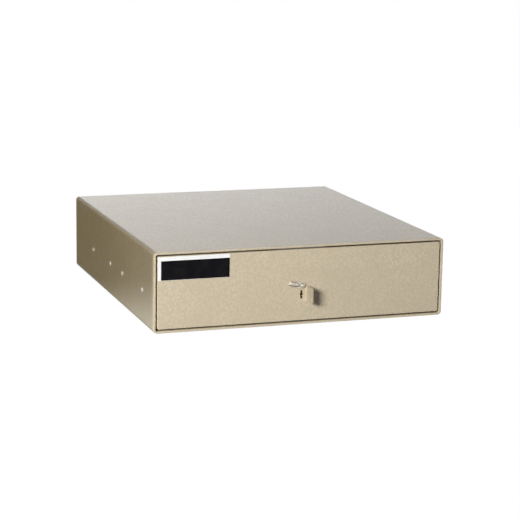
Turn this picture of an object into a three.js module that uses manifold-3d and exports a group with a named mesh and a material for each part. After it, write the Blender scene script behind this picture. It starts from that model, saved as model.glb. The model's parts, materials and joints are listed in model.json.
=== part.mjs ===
// Under desk drawer safe: a steel casing with a lockable drawer on telescopic ball slides.
// Millimetres, +Z up, the front faces -Y. The origin is the centre of the casing's underside.

import * as THREE from 'three';
import { mergeVertices } from 'three/addons/utils/BufferGeometryUtils.js';
import Module from 'manifold-3d';

const wasm = await Module();
wasm.setup();

// Casing
const casingWidth = 400;
const casingDepth = 430;
const casingHeight = 105;
const casingSheet = 3;
const casingBendRadius = 5;
const casingEdgeBreak = 0.4;
const fixingHoleRadius = 4.5;
const fixingHoleInset = 50;
const fixingHoleSetback = 65;

// Drawer front
const frontSheet = 5;
const frontGap = 2;
const frontCornerRadius = 2.5;
const frontEdgeBreak = 0.6;
const studRadius = 2.5;
const studInset = 20;
const studEndGap = 13;
const nutAcrossFlats = 8;
const nutHeight = 4;
const studReach = 1.5;

// Drawer tray
const traySheet = 1.5;
const trayBendRadius = 1.5;
const trayFloorClearance = 5;
const trayHemHeight = 7;
const trayCornerRadius = 1.8;
const trayRearReach = 2;

// Finger pull
const pullSheet = 3;
const pullHeight = 21;
const pullReach = 20;
const pullCornerRadius = 2.5;
const pullOffset = 7.7;
const pullRise = 0.8;

// Keyhole, its cover and the cover's rivet
const keyholeHeight = 11.5;
const keyholeWidth = 3.6;
const keyholeShankRadius = 2.5;
const coverSheet = 1.2;
const coverHeadRadius = 4.5;
const coverLobeRadius = 3.8;
const coverPivotRise = 6.6;
const coverOverlap = 1.2;
const coverNibRadius = 1.6;
const coverNibHeight = 0.9;
const coverAngle = THREE.MathUtils.degToRad(168);
const coverRivetRadius = 1.5;
const coverRivetHeadRadius = 2.7;
const coverRivetHeadHeight = 1.3;
const springWasherRadius = 3.4;
const springWasherSheet = 0.3;
const springWasherCrown = 0.5;

// Drawer slides
const slideWidth = 12.7;
const slideHeight = 45;
const slideSheet = 1.2;
const slideBendRadius = 0.6;
const slideSetback = 8;
const slideRearClearance = 24;
const slideCentreShare = 0.438;
const raceLip = 3.6;
const ballDiameter = 4.5;
const ballGap = 0.15;
const cageSheet = 0.5;
const cageWebShare = 0.31;
const middleWebShare = 0.4;
const innerCageWebShare = 0.49;
const outerLipShare = 0.86;
const middleLipShare = 0.91;
const outerBallShare = 0.57;
const innerBallShare = 0.665;
const drawerFlangeShare = 0.56;
const ballsPerRow = 6;
const cageLengthShare = 0.455;
const cageStartShare = 0.28;
const bufferThickness = 6;
const bufferTailLength = 13;
const rivetDepthShares = [0.128, 0.365, 0.517, 0.749];
const rivetShankRadius = 2;
const rivetHeadRadius = 3.1;
const rivetHeadHeight = 1.4;
const rivetTailRadius = 2.8;
const rivetTailHeight = 1.3;
const slideScrewShares = [0.12, 0.5, 0.88];
const slideScrewShankRadius = 1.8;
const slideScrewHeadRadius = 3.2;
const slideScrewHeadHeight = 1.8;
const slideScrewTail = 3;

// Lever lock. Heights inside it are shares of the height of its case
const lockWidth = 61;
const lockFloorGap = 2.5;
const lockWall = 3;
const lockCapSheet = 2;
const lockCornerRadius = 4;
const lockBossRadius = 4.5;
const lockBossInset = 5.5;
const lockTrayDrop = 2;
const keyHeightShare = 0.3553;
const leverSheet = 1.2;
const leverGap = 0.15;
const leverEyeShare = 0.07;
const leverLobeShare = 0.19;
const leverHeadGap = 1.5;
const leverRib = 2.2;
const leverBiteShares = [0.97, 0.9, 1, 0.92, 0.99, 0.94];
const postRadius = 2;
const stumpShare = 0.05;
const gateClearance = 0.2;
const pocketClearance = 0.8;
const lowerPocketReach = 2.4;
const upperPocketReach = 1.6;
const boltWidth = 28;
const boltSheet = 9;
const boltHeadShare = 0.154;
const boltTailSheet = 3;
const boltTailWidth = 22;
const boltTailFoot = 4;
const boltTopGap = 0.4;
const boltThrowShare = 0.109;
const drumNoseRadius = 6.6;
const drumCurtainRadius = 4;
const drumFlangeRadius = 7.2;
const drumFlangeSheet = 1.6;
const spigotRadius = 2.4;
const drivePinRadius = 1.25;
const drivePinPlay = 1.15;
const springSheet = 0.5;
const springRest = 5;
const springBladeBend = 3;
const springClampSheet = 1.2;
const springClampHeight = 14;
const springClampRise = 3;
const springAnchorRise = 9;
const lockScrewRadius = 2;
const lockScrewHeadRadius = 3.6;
const lockScrewHeadHeight = 2.6;
const lockScrewGrip = 3.4;

// Keep for the bolt, under the roof of the casing
const keepSheet = 3;
const keepLegSheet = 4;
const keepWidth = 70;
const keepFoot = 24;
const keepClearance = 1.6;
const keepBoltGap = 0.6;

// Clearances
const seatGap = 0.2;
const runningGap = 0.3;
const cutOverrun = 1;

// Facets
const bendSteps = 3;
const cornerSteps = 4;
const roundSteps = 16;
const smallRoundSteps = 10;
const ballColumns = 6;
const ballRows = 5;
const domeSteps = 2;

// Places that several pieces share
const mouthY = -casingDepth / 2;
const rearY = casingDepth / 2;
const innerHalfWidth = casingWidth / 2 - casingSheet;
const roofZ = casingHeight - casingSheet;
const frontWidth = casingWidth - 2 * (casingSheet + frontGap);
const frontHeight = casingHeight - 2 * (casingSheet + frontGap);
const frontRearY = mouthY + frontSheet;
const trayFrontY = frontRearY + seatGap;
const slideCentreZ = casingHeight * slideCentreShare;
const slideFrontY = mouthY + slideSetback;
const slideLength = casingDepth - casingSheet - slideSetback - slideRearClearance;
const trayHalfWidth = innerHalfWidth - slideWidth - 2 * seatGap;
const trayRearY = slideFrontY + slideLength + trayRearReach;
const trayFloorZ = casingSheet + trayFloorClearance;
const lockFrontY = trayFrontY + traySheet + seatGap;
const lockBottomZ = trayFloorZ + traySheet + lockFloorGap;
const keepFootZ = roofZ - seatGap - keepSheet;
const lockHeight = (keepFootZ - boltTopGap - lockBottomZ) / (1 + boltThrowShare);
const lockTopZ = lockBottomZ + lockHeight;
const trayTopZ = lockTopZ - lockTrayDrop;
const boltThrow = lockHeight * boltThrowShare;
const boltHeadHeight = lockHeight * boltHeadShare;
const leverEyeRadius = lockHeight * leverEyeShare;
const leverLobeRadius = lockHeight * leverLobeShare;
const stumpWidth = lockHeight * stumpShare;
const pocketHalf = stumpWidth / 2 + pocketClearance;
const keyZ = lockBottomZ + lockHeight * keyHeightShare;
const postZ = lockTopZ - boltHeadHeight - leverHeadGap - leverEyeRadius;
const stumpZ = postZ - postRadius - seatGap - leverRib - pocketHalf - boltThrow;
const leverCount = leverBiteShares.length;
const leversStartY = lockFrontY + lockWall + runningGap;
const leversEndY = leversStartY + leverCount * leverSheet + (leverCount - 1) * leverGap;
const drumFlangeY = leversEndY + runningGap;
const tailStartY = drumFlangeY + drumFlangeSheet + seatGap;
const tailEndY = tailStartY + boltTailSheet;
const capStartY = tailEndY + runningGap;
const capEndY = capStartY + lockCapSheet;
const coverPivotZ = keyZ + keyholeHeight / 2 + coverPivotRise;
const coverBackY = mouthY - runningGap;

// Materials
function finish(name, colour, roughness, metalness) {
  return new THREE.MeshStandardMaterial({ name, color: colour, roughness, metalness });
}

const hammerPaint = finish('hammer_paint', 0xc3b597, 0.5, 0.25);
const zincPlate = finish('zinc_plate', 0xb9bcc0, 0.35, 0.9);
const nickel = finish('nickel', 0xd8d6d0, 0.2, 1);
const trayPaint = finish('tray_paint', 0xb8ab8e, 0.55, 0.2);
const brass = finish('brass', 0xb89b5e, 0.35, 0.9);
const springSteel = finish('spring_steel', 0x8c8f94, 0.3, 0.9);
const rubber = finish('rubber', 0x26262a, 0.8, 0);

// Solids

// One closed mesh: shared corners merged, and the slivers at a lathe's axis dropped
function weld(geometry) {
  const bare = geometry.clone();
  bare.deleteAttribute('normal');
  bare.deleteAttribute('uv');
  const merged = mergeVertices(bare);
  const corners = merged.getIndex().array;
  const kept = [];
  for (let i = 0; i < corners.length; i += 3) {
    const [a, b, c] = [corners[i], corners[i + 1], corners[i + 2]];
    if (a !== b && b !== c && c !== a) {
      kept.push(a, b, c);
    }
  }
  merged.setIndex(kept);
  return merged;
}

function solidOf(geometry) {
  const welded = weld(geometry);
  const vertProperties = new Float32Array(welded.getAttribute('position').array);
  const triVerts = new Uint32Array(welded.getIndex().array);
  return new wasm.Manifold(new wasm.Mesh({ numProp: 3, vertProperties, triVerts }));
}

function geometryOf(solid) {
  const mesh = solid.getMesh();
  const geometry = new THREE.BufferGeometry();
  geometry.setAttribute('position', new THREE.BufferAttribute(mesh.vertProperties, 3));
  geometry.setIndex(new THREE.BufferAttribute(mesh.triVerts, 1));
  return geometry;
}

function join(first, ...others) {
  return geometryOf(others.reduce((sum, other) => sum.add(solidOf(other)), solidOf(first)));
}

function cut(body, ...tools) {
  return geometryOf(tools.reduce((rest, tool) => rest.subtract(solidOf(tool)), solidOf(body)));
}

function block(x0, x1, y0, y1, z0, z1) {
  const geometry = new THREE.BoxGeometry(x1 - x0, y1 - y0, z1 - z0);
  return geometry.translate((x0 + x1) / 2, (y0 + y1) / 2, (z0 + z1) / 2);
}

// An outline drawn in x and z, carried along y
function alongY(shape, startY, length, edgeBreak = 0) {
  const options = { depth: length, bevelEnabled: false, curveSegments: cornerSteps };
  if (edgeBreak > 0) {
    options.depth = length - 2 * edgeBreak;
    options.bevelEnabled = true;
    options.bevelThickness = edgeBreak;
    options.bevelSize = edgeBreak;
    options.bevelOffset = -edgeBreak;
    options.bevelSegments = 1;
  }
  const geometry = new THREE.ExtrudeGeometry(shape, options);
  const turn = new THREE.Matrix4().makeBasis(
    new THREE.Vector3(1, 0, 0),
    new THREE.Vector3(0, 0, 1),
    new THREE.Vector3(0, -1, 0),
  );
  return geometry.applyMatrix4(turn).translate(0, startY + length - edgeBreak, 0);
}

// An outline drawn in y and z, carried along x
function alongX(shape, startX, length) {
  const options = { depth: length, bevelEnabled: false, curveSegments: cornerSteps };
  const geometry = new THREE.ExtrudeGeometry(shape, options);
  const turn = new THREE.Matrix4().makeBasis(
    new THREE.Vector3(0, 1, 0),
    new THREE.Vector3(0, 0, 1),
    new THREE.Vector3(1, 0, 0),
  );
  return geometry.applyMatrix4(turn).translate(startX, 0, 0);
}

function rodAlongY(radius, startY, endY, x, z, steps = roundSteps) {
  const length = endY - startY;
  return new THREE.CylinderGeometry(radius, radius, length, steps).translate(x, startY + length / 2, z);
}

function rodAlongX(radius, startX, endX, y, z, steps = smallRoundSteps) {
  const length = endX - startX;
  const rod = new THREE.CylinderGeometry(radius, radius, length, steps).rotateZ(Math.PI / 2);
  return rod.translate(startX + length / 2, y, z);
}

function rodAlongZ(radius, startZ, endZ, x, y, steps = roundSteps) {
  const length = endZ - startZ;
  const rod = new THREE.CylinderGeometry(radius, radius, length, steps).rotateX(Math.PI / 2);
  return rod.translate(x, y, startZ + length / 2);
}

// Outlines

function traceRectangle(path, left, right, bottom, top, radius) {
  path.moveTo(left + radius, bottom);
  path.lineTo(right - radius, bottom);
  path.absarc(right - radius, bottom + radius, radius, -Math.PI / 2, 0, false);
  path.lineTo(right, top - radius);
  path.absarc(right - radius, top - radius, radius, 0, Math.PI / 2, false);
  path.lineTo(left + radius, top);
  path.absarc(left + radius, top - radius, radius, Math.PI / 2, Math.PI, false);
  path.lineTo(left, bottom + radius);
  path.absarc(left + radius, bottom + radius, radius, Math.PI, 1.5 * Math.PI, false);
  return path;
}

function roundHole(x, z, radius, steps = roundSteps) {
  const points = [];
  for (let i = 0; i < steps; i += 1) {
    const angle = (2 * Math.PI * i) / steps;
    points.push(new THREE.Vector2(x + radius * Math.cos(angle), z + radius * Math.sin(angle)));
  }
  return new THREE.Path(points);
}

// Round-ended link between two circles, used for the levers and the keyhole cover
function linkShape(fromX, fromZ, fromRadius, toX, toZ, toRadius) {
  const along = Math.atan2(toZ - fromZ, toX - fromX);
  const spread = Math.acos((fromRadius - toRadius) / Math.hypot(toX - fromX, toZ - fromZ));
  const shape = new THREE.Shape();
  shape.absarc(fromX, fromZ, fromRadius, along + spread, along - spread + 2 * Math.PI, false);
  shape.absarc(toX, toZ, toRadius, along - spread, along + spread, false);
  shape.closePath();
  return shape;
}

// Section of a strip of sheet that follows a line of corners, bent to one inner radius
function foldedSection(corners, sheet, bendRadius) {
  const line = corners.map(([x, z]) => new THREE.Vector2(x, z));
  const middleRadius = bendRadius + sheet / 2;
  const left = [];
  const right = [];
  const place = (point, normal) => {
    left.push(point.clone().addScaledVector(normal, sheet / 2));
    right.push(point.clone().addScaledVector(normal, -sheet / 2));
  };
  const directionAt = (i) => line[i + 1].clone().sub(line[i]).normalize();
  const normalOf = (direction) => new THREE.Vector2(-direction.y, direction.x);
  place(line[0], normalOf(directionAt(0)));
  for (let i = 1; i < line.length - 1; i += 1) {
    const before = directionAt(i - 1);
    const after = directionAt(i);
    const turn = Math.atan2(before.cross(after), before.dot(after));
    const start = line[i].clone().addScaledVector(before, -middleRadius * Math.tan(Math.abs(turn) / 2));
    const side = Math.sign(turn);
    const centre = start.clone().addScaledVector(normalOf(before), side * middleRadius);
    for (let k = 0; k <= bendSteps; k += 1) {
      const normal = normalOf(before).rotateAround(new THREE.Vector2(), (turn * k) / bendSteps);
      place(centre.clone().addScaledVector(normal, -side * middleRadius), normal);
    }
  }
  place(line.at(-1), normalOf(directionAt(line.length - 2)));
  return new THREE.Shape([...left, ...right.reverse()]);
}

// Turned fastener along y: a domed head at headY, a shank, and a plain or domed tail
function turnedPin(stations) {
  const points = stations.map(([radius, place]) => new THREE.Vector2(radius, place));
  return new THREE.LatheGeometry(points, smallRoundSteps);
}

function dome(radius, height, baseAt, direction) {
  const points = [];
  for (let i = 0; i <= domeSteps; i += 1) {
    const angle = (Math.PI / 2) * (i / domeSteps);
    const reach = i === domeSteps ? 0 : radius * Math.cos(angle);
    points.push([reach, baseAt + direction * height * Math.sin(angle)]);
  }
  return points;
}

// Assembly

const safe = new THREE.Group();

function addPiece(name, geometry, material) {
  const mesh = new THREE.Mesh(weld(geometry), material);
  mesh.name = name;
  safe.add(mesh);
  return mesh;
}

// Casing pieces

function casingSleeve() {
  const halfWidth = casingWidth / 2;
  const section = new THREE.Shape();
  traceRectangle(section, -halfWidth, halfWidth, 0, casingHeight, casingBendRadius);
  const innerRadius = casingBendRadius - casingSheet;
  const hollow = new THREE.Path();
  traceRectangle(hollow, -innerHalfWidth, innerHalfWidth, casingSheet, roofZ, innerRadius);
  section.holes.push(hollow);
  const wrap = alongY(section, mouthY, casingDepth, casingEdgeBreak);
  const tools = [];
  for (const side of [-1, 1]) {
    const wallX = side * (halfWidth - casingSheet / 2);
    const reach = casingSheet / 2 + cutOverrun;
    for (const share of rivetDepthShares) {
      const holeY = mouthY + casingDepth * share;
      const holeRadius = rivetShankRadius + seatGap;
      tools.push(rodAlongX(holeRadius, wallX - reach, wallX + reach, holeY, slideCentreZ));
    }
    for (const end of [-1, 1]) {
      const x = side * (halfWidth - fixingHoleInset);
      const y = end * (casingDepth / 2 - fixingHoleSetback);
      tools.push(rodAlongZ(fixingHoleRadius, -cutOverrun, casingSheet + cutOverrun, x, y));
    }
  }
  return cut(wrap, ...tools);
}

function rearPanel() {
  const right = innerHalfWidth - seatGap;
  const bottom = casingSheet + seatGap;
  const radius = casingBendRadius - casingSheet;
  const outline = traceRectangle(new THREE.Shape(), -right, right, bottom, roofZ - seatGap, radius);
  return alongY(outline, rearY - casingSheet, casingSheet);
}

function boltKeep() {
  const legRearY = tailEndY - boltSheet - keepBoltGap;
  const legFrontY = legRearY - keepLegSheet;
  const legBottomZ = lockTopZ + keepClearance;
  const top = roofZ - seatGap;
  const angle = new THREE.Shape();
  angle.moveTo(legFrontY, legBottomZ);
  angle.lineTo(legRearY, legBottomZ);
  angle.lineTo(legRearY, keepFootZ);
  angle.lineTo(legFrontY + keepFoot, keepFootZ);
  angle.lineTo(legFrontY + keepFoot, top);
  angle.lineTo(legFrontY, top);
  angle.closePath();
  return alongX(angle, -keepWidth / 2, keepWidth);
}

// Slide pieces. Each section is drawn from the casing's wall (u) and the slide's centre line (v)

const outerRaceV = slideHeight / 2 - slideSheet;
const outerBallV = outerRaceV - ballGap - ballDiameter / 2;
const middleRaceV = outerBallV - ballDiameter / 2 - ballGap;
const innerBallV = middleRaceV - slideSheet - ballGap - ballDiameter / 2;
const drawerRaceV = innerBallV - ballDiameter / 2 - ballGap;

function slideSection(side, corners, sheet) {
  const wallX = innerHalfWidth - seatGap;
  const placed = corners.map(([u, v]) => [side * (wallX - u), slideCentreZ + v]);
  return foldedSection(placed, sheet, slideBendRadius);
}

function channelCorners(webU, lipU, halfHeight, lip) {
  const corners = [[webU, halfHeight], [webU, -halfHeight]];
  if (lip > 0) {
    const upper = [[lipU, halfHeight - lip], [lipU, halfHeight]];
    return [...upper, ...corners, [lipU, -halfHeight], [lipU, lip - halfHeight]];
  }
  return [[lipU, halfHeight], ...corners, [lipU, -halfHeight]];
}

function outerMember(side) {
  const middle = slideSheet / 2;
  const lipU = slideWidth * outerLipShare;
  const corners = channelCorners(middle, lipU, slideHeight / 2 - middle, raceLip);
  const length = slideLength + bufferTailLength;
  const channel = alongY(slideSection(side, corners, slideSheet), slideFrontY, length);
  const webX = side * (innerHalfWidth - seatGap - middle);
  const reach = middle + cutOverrun;
  const holes = rivetDepthShares.map((share) => {
    const holeY = mouthY + casingDepth * share;
    return rodAlongX(rivetShankRadius + seatGap, webX - reach, webX + reach, holeY, slideCentreZ);
  });
  return cut(channel, ...holes);
}

function middleMember(side) {
  const webU = slideWidth * middleWebShare;
  const lipU = slideWidth * middleLipShare;
  const corners = channelCorners(webU, lipU, middleRaceV - slideSheet / 2, raceLip);
  return alongY(slideSection(side, corners, slideSheet), slideFrontY, slideLength);
}

function drawerMember(side) {
  const webU = slideWidth - slideSheet / 2;
  const corners = channelCorners(webU, slideWidth * drawerFlangeShare, drawerRaceV - slideSheet / 2, 0);
  const channel = alongY(slideSection(side, corners, slideSheet), slideFrontY, slideLength);
  const webX = side * (innerHalfWidth - seatGap - webU);
  const reach = slideSheet / 2 + cutOverrun;
  const holes = slideScrewShares.map((share) => {
    const holeY = slideFrontY + slideLength * share;
    return rodAlongX(slideScrewShankRadius + seatGap, webX - reach, webX + reach, holeY, slideCentreZ);
  });
  return cut(channel, ...holes);
}

// A cage is a light channel that carries two rows of balls, pressed into it
function ballCage(side, webShare, ballShare, ballV) {
  const webU = slideWidth * webShare;
  const ballU = slideWidth * ballShare;
  const edgeU = ballU + ballDiameter / 2;
  const corners = channelCorners(webU, edgeU, ballV, 0);
  const cageLength = slideLength * cageLengthShare;
  const cageStartY = slideFrontY + slideLength * cageStartShare;
  const strip = alongY(slideSection(side, corners, cageSheet), cageStartY, cageLength);
  const pitch = cageLength / ballsPerRow;
  const balls = [];
  for (const row of [-1, 1]) {
    for (let i = 0; i < ballsPerRow; i += 1) {
      const ball = new THREE.SphereGeometry(ballDiameter / 2, ballColumns, ballRows).rotateX(Math.PI / 2);
      const x = side * (innerHalfWidth - seatGap - ballU);
      balls.push(ball.translate(x, cageStartY + pitch * (i + 1 / 2), slideCentreZ + row * ballV));
    }
  }
  return join(strip, ...balls);
}

function slideBuffer(side) {
  const frontU = slideWidth * cageWebShare;
  const farU = slideWidth * outerLipShare - slideSheet / 2 - seatGap;
  const wallX = innerHalfWidth - seatGap;
  const nearX = side * (wallX - slideSheet - seatGap);
  const farX = side * (wallX - farU);
  const startY = slideFrontY + slideLength + runningGap;
  const halfHeight = outerRaceV - slideBendRadius;
  const foot = block(
    Math.min(nearX, farX),
    Math.max(nearX, farX),
    startY,
    startY + bufferThickness,
    slideCentreZ - halfHeight,
    slideCentreZ + halfHeight,
  );
  const heelX = side * (wallX - frontU);
  const heel = block(
    Math.min(nearX, heelX),
    Math.max(nearX, heelX),
    startY + bufferThickness / 2,
    slideFrontY + slideLength + bufferTailLength,
    slideCentreZ - halfHeight / 2,
    slideCentreZ + halfHeight / 2,
  );
  return join(foot, heel);
}

// Rivet through the casing's wall and the outer member, with its round head outside
function slideRivet(side, share) {
  const headBase = casingWidth / 2 + seatGap / 2;
  const tailBase = innerHalfWidth - seatGap - slideSheet - seatGap / 2;
  const stations = [
    ...dome(rivetTailRadius, rivetTailHeight, tailBase, -1).reverse(),
    [rivetShankRadius, tailBase],
    [rivetShankRadius, headBase],
    ...dome(rivetHeadRadius, rivetHeadHeight, headBase, 1),
  ];
  const rivet = turnedPin(stations).rotateZ(-side * Math.PI / 2);
  return rivet.translate(0, mouthY + casingDepth * share, slideCentreZ);
}

// Screw through the drawer member into the tray's side, with its head in the member's channel
function slideScrew(side, share) {
  const webFaceX = innerHalfWidth - seatGap - slideWidth + slideSheet;
  const headBase = webFaceX + seatGap / 2;
  const tip = trayHalfWidth - traySheet - slideScrewTail;
  const stations = [
    [0, tip],
    [slideScrewShankRadius, tip],
    [slideScrewShankRadius, headBase],
    ...dome(slideScrewHeadRadius, slideScrewHeadHeight, headBase, 1),
  ];
  const screw = turnedPin(stations).rotateZ(-side * Math.PI / 2);
  return screw.translate(0, slideFrontY + slideLength * share, slideCentreZ);
}

// Drawer pieces

function studPlaces() {
  const x = trayHalfWidth - studInset;
  const low = trayFloorZ + traySheet + studEndGap;
  const high = trayTopZ - studEndGap;
  return [[-x, low], [x, low], [-x, high], [x, high]];
}

function lockScrewPlaces() {
  const x = lockWidth / 2 - lockBossInset;
  const low = lockBottomZ + lockBossInset;
  const high = lockTopZ - lockBossInset;
  return [[-x, low], [x, low], [-x, high], [x, high]];
}

// Keyhole for a key with a round shank and a bit on each side
function keyholeTools(startY, endY) {
  const halfWidth = keyholeWidth / 2;
  const halfHeight = keyholeHeight / 2;
  return [
    block(-halfWidth, halfWidth, startY, endY, keyZ - halfHeight, keyZ + halfHeight),
    rodAlongY(keyholeShankRadius, startY, endY, 0, keyZ),
  ];
}

function drawerFront() {
  const halfWidth = frontWidth / 2;
  const bottom = casingSheet + frontGap;
  const outline = traceRectangle(
    new THREE.Shape(),
    -halfWidth,
    halfWidth,
    bottom,
    bottom + frontHeight,
    frontCornerRadius,
  );
  const plate = alongY(outline, mouthY, frontSheet, frontEdgeBreak);
  const studEndY = lockFrontY + nutHeight + studReach;
  const studs = studPlaces().map(([x, z]) => {
    return rodAlongY(studRadius, frontRearY - frontSheet / 2, studEndY, x, z, smallRoundSteps);
  });
  const screwHoles = lockScrewPlaces().map(([x, z]) => {
    const endY = frontRearY - lockScrewGrip - seatGap;
    return rodAlongY(lockScrewRadius + seatGap, endY, frontRearY + cutOverrun, x, z, smallRoundSteps);
  });
  const throughStart = mouthY - cutOverrun;
  const throughEnd = frontRearY + cutOverrun;
  const rivetHole = rodAlongY(coverRivetRadius + seatGap, throughStart, throughEnd, 0, coverPivotZ);
  return cut(join(plate, ...studs), ...screwHoles, rivetHole, ...keyholeTools(throughStart, throughEnd));
}

// Trough of the tray: floor and sides in one sheet, with the top edges turned over outwards
function drawerTray() {
  const sideX = trayHalfWidth - traySheet / 2;
  const floorZ = trayFloorZ + traySheet / 2;
  const topZ = trayTopZ - traySheet / 2;
  const hemX = sideX + 2 * trayBendRadius + traySheet;
  const hemZ = topZ - trayBendRadius - trayHemHeight;
  const corners = [
    [-hemX, hemZ],
    [-hemX, topZ],
    [-sideX, topZ],
    [-sideX, floorZ],
    [sideX, floorZ],
    [sideX, topZ],
    [hemX, topZ],
    [hemX, hemZ],
  ];
  const startY = trayFrontY + traySheet + seatGap;
  const length = trayRearY - traySheet - seatGap - startY;
  const trough = alongY(foldedSection(corners, traySheet, trayBendRadius), startY, length);
  const reach = traySheet / 2 + cutOverrun;
  const screwHoles = [];
  for (const side of [-1, 1]) {
    for (const share of slideScrewShares) {
      const y = slideFrontY + slideLength * share;
      const holeRadius = slideScrewShankRadius + seatGap;
      screwHoles.push(rodAlongX(holeRadius, side * sideX - reach, side * sideX + reach, y, slideCentreZ));
    }
  }
  return cut(trough, ...screwHoles);
}

// End wall of the tray, welded across the end of its trough
function trayEndOutline() {
  const outline = new THREE.Shape();
  return traceRectangle(outline, -trayHalfWidth, trayHalfWidth, trayFloorZ, trayTopZ, trayCornerRadius);
}

function trayFrontWall() {
  const outline = trayEndOutline();
  outline.holes.push(roundHole(0, keyZ, drumNoseRadius + seatGap));
  outline.holes.push(roundHole(0, coverPivotZ, coverRivetHeadRadius + runningGap));
  for (const [x, z] of studPlaces()) {
    outline.holes.push(roundHole(x, z, studRadius + runningGap, smallRoundSteps));
  }
  for (const [x, z] of lockScrewPlaces()) {
    outline.holes.push(roundHole(x, z, lockScrewRadius + runningGap, smallRoundSteps));
  }
  return alongY(outline, trayFrontY, traySheet);
}

function trayRearWall() {
  return alongY(trayEndOutline(), trayRearY - traySheet, traySheet);
}

function frontNut(x, z) {
  const hexagon = roundHole(0, 0, nutAcrossFlats / Math.sqrt(3), 6);
  const shape = new THREE.Shape(hexagon.getPoints());
  shape.holes.push(roundHole(0, 0, studRadius + seatGap, smallRoundSteps));
  return alongY(shape, lockFrontY, nutHeight).translate(x, 0, z);
}

function fingerPull() {
  const tipY = mouthY - seatGap - pullReach;
  const rootY = mouthY - seatGap;
  const bottom = keyZ + pullRise - pullHeight / 2;
  const top = bottom + pullHeight;
  const radius = pullCornerRadius;
  const outline = new THREE.Shape();
  outline.moveTo(rootY, bottom);
  outline.lineTo(rootY, top);
  outline.lineTo(tipY + radius, top);
  outline.absarc(tipY + radius, top - radius, radius, Math.PI / 2, Math.PI, false);
  outline.lineTo(tipY, bottom + radius);
  outline.absarc(tipY + radius, bottom + radius, radius, Math.PI, 1.5 * Math.PI, false);
  outline.closePath();
  return alongX(outline, pullOffset - pullSheet / 2, pullSheet);
}

// Keyhole cover pieces

function keyholeCover() {
  const reach = coverPivotRise + keyholeHeight + coverOverlap - coverLobeRadius;
  const lobeX = reach * Math.cos(coverAngle);
  const lobeZ = coverPivotZ + reach * Math.sin(coverAngle);
  const outline = linkShape(0, coverPivotZ, coverHeadRadius, lobeX, lobeZ, coverLobeRadius);
  outline.holes.push(roundHole(0, coverPivotZ, coverRivetRadius + seatGap, smallRoundSteps));
  const plate = alongY(outline, coverBackY - coverSheet, coverSheet);
  const nibFrontY = coverBackY - coverSheet - coverNibHeight;
  const nibRearY = coverBackY - coverSheet / 2;
  const nib = rodAlongY(coverNibRadius, nibFrontY, nibRearY, lobeX, lobeZ, smallRoundSteps);
  return join(plate, nib);
}

// Crowned ring between the cover and the head of its rivet
function coverSpringWasher() {
  const inner = coverRivetRadius + seatGap;
  const rimY = coverBackY - coverSheet - seatGap;
  const crownY = rimY - springWasherCrown;
  const stations = [
    [inner, crownY],
    [inner, crownY - springWasherSheet],
    [springWasherRadius, rimY - springWasherSheet],
    [springWasherRadius, rimY],
    [inner, crownY],
  ];
  return turnedPin(stations).translate(0, 0, coverPivotZ);
}

function coverRivet() {
  const washerFrontY = coverBackY - coverSheet - seatGap - springWasherCrown - springWasherSheet;
  const headBase = washerFrontY - seatGap;
  const tailBase = frontRearY + seatGap;
  const stations = [
    ...dome(coverRivetHeadRadius, coverRivetHeadHeight, headBase, -1).reverse(),
    [coverRivetRadius, headBase],
    [coverRivetRadius, tailBase],
    ...dome(coverRivetHeadRadius, traySheet, tailBase, 1),
  ];
  return turnedPin(stations).translate(0, 0, coverPivotZ);
}

// Lever lock pieces

function lockOutline(inset) {
  const halfWidth = lockWidth / 2 - inset;
  const radius = Math.max(lockCornerRadius - inset, lockCornerRadius / 4);
  const bottom = lockBottomZ + inset;
  return traceRectangle(new THREE.Shape(), -halfWidth, halfWidth, bottom, lockTopZ - inset, radius);
}

function lockCase() {
  const rimY = capStartY - seatGap;
  const body = alongY(lockOutline(0), lockFrontY, rimY - lockFrontY);
  const floorY = lockFrontY + lockWall;
  const cavity = alongY(lockOutline(lockWall), floorY, rimY + cutOverrun - floorY);
  const bosses = lockScrewPlaces().map(([x, z]) => {
    return rodAlongY(lockBossRadius, floorY - cutOverrun, rimY + 2 * cutOverrun, x, z, smallRoundSteps);
  });
  const startY = lockFrontY - cutOverrun;
  const screwHoles = lockScrewPlaces().map(([x, z]) => {
    return rodAlongY(lockScrewRadius + runningGap, startY, rimY + cutOverrun, x, z, smallRoundSteps);
  });
  const boltSlot = block(
    -boltWidth / 2 - runningGap,
    boltWidth / 2 + runningGap,
    tailEndY - boltSheet - runningGap,
    rimY + cutOverrun,
    lockTopZ - lockWall - cutOverrun,
    lockTopZ + cutOverrun,
  );
  const drumHole = rodAlongY(drumNoseRadius + seatGap, startY, floorY + cutOverrun, 0, keyZ);
  const postHole = rodAlongY(postRadius + seatGap, startY, floorY + cutOverrun, 0, postZ, smallRoundSteps);
  return cut(body, cut(cavity, ...bosses), ...screwHoles, boltSlot, drumHole, postHole);
}

function lockCap() {
  const outline = lockOutline(0);
  outline.holes.push(roundHole(0, keyZ, spigotRadius + seatGap, smallRoundSteps));
  outline.holes.push(roundHole(0, postZ, postRadius + seatGap, smallRoundSteps));
  for (const [x, z] of lockScrewPlaces()) {
    outline.holes.push(roundHole(x, z, lockScrewRadius + runningGap, smallRoundSteps));
  }
  return alongY(outline, capStartY, lockCapSheet);
}

function lockScrew(x, z) {
  const headBase = capEndY + seatGap;
  const stations = [
    [0, frontRearY - lockScrewGrip],
    [lockScrewRadius, frontRearY - lockScrewGrip],
    [lockScrewRadius, headBase],
    ...dome(lockScrewHeadRadius, lockScrewHeadHeight, headBase, 1),
  ];
  return turnedPin(stations).translate(x, 0, z);
}

function leverPost() {
  return rodAlongY(postRadius, lockFrontY + seatGap, capEndY - seatGap, 0, postZ, smallRoundSteps);
}

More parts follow.
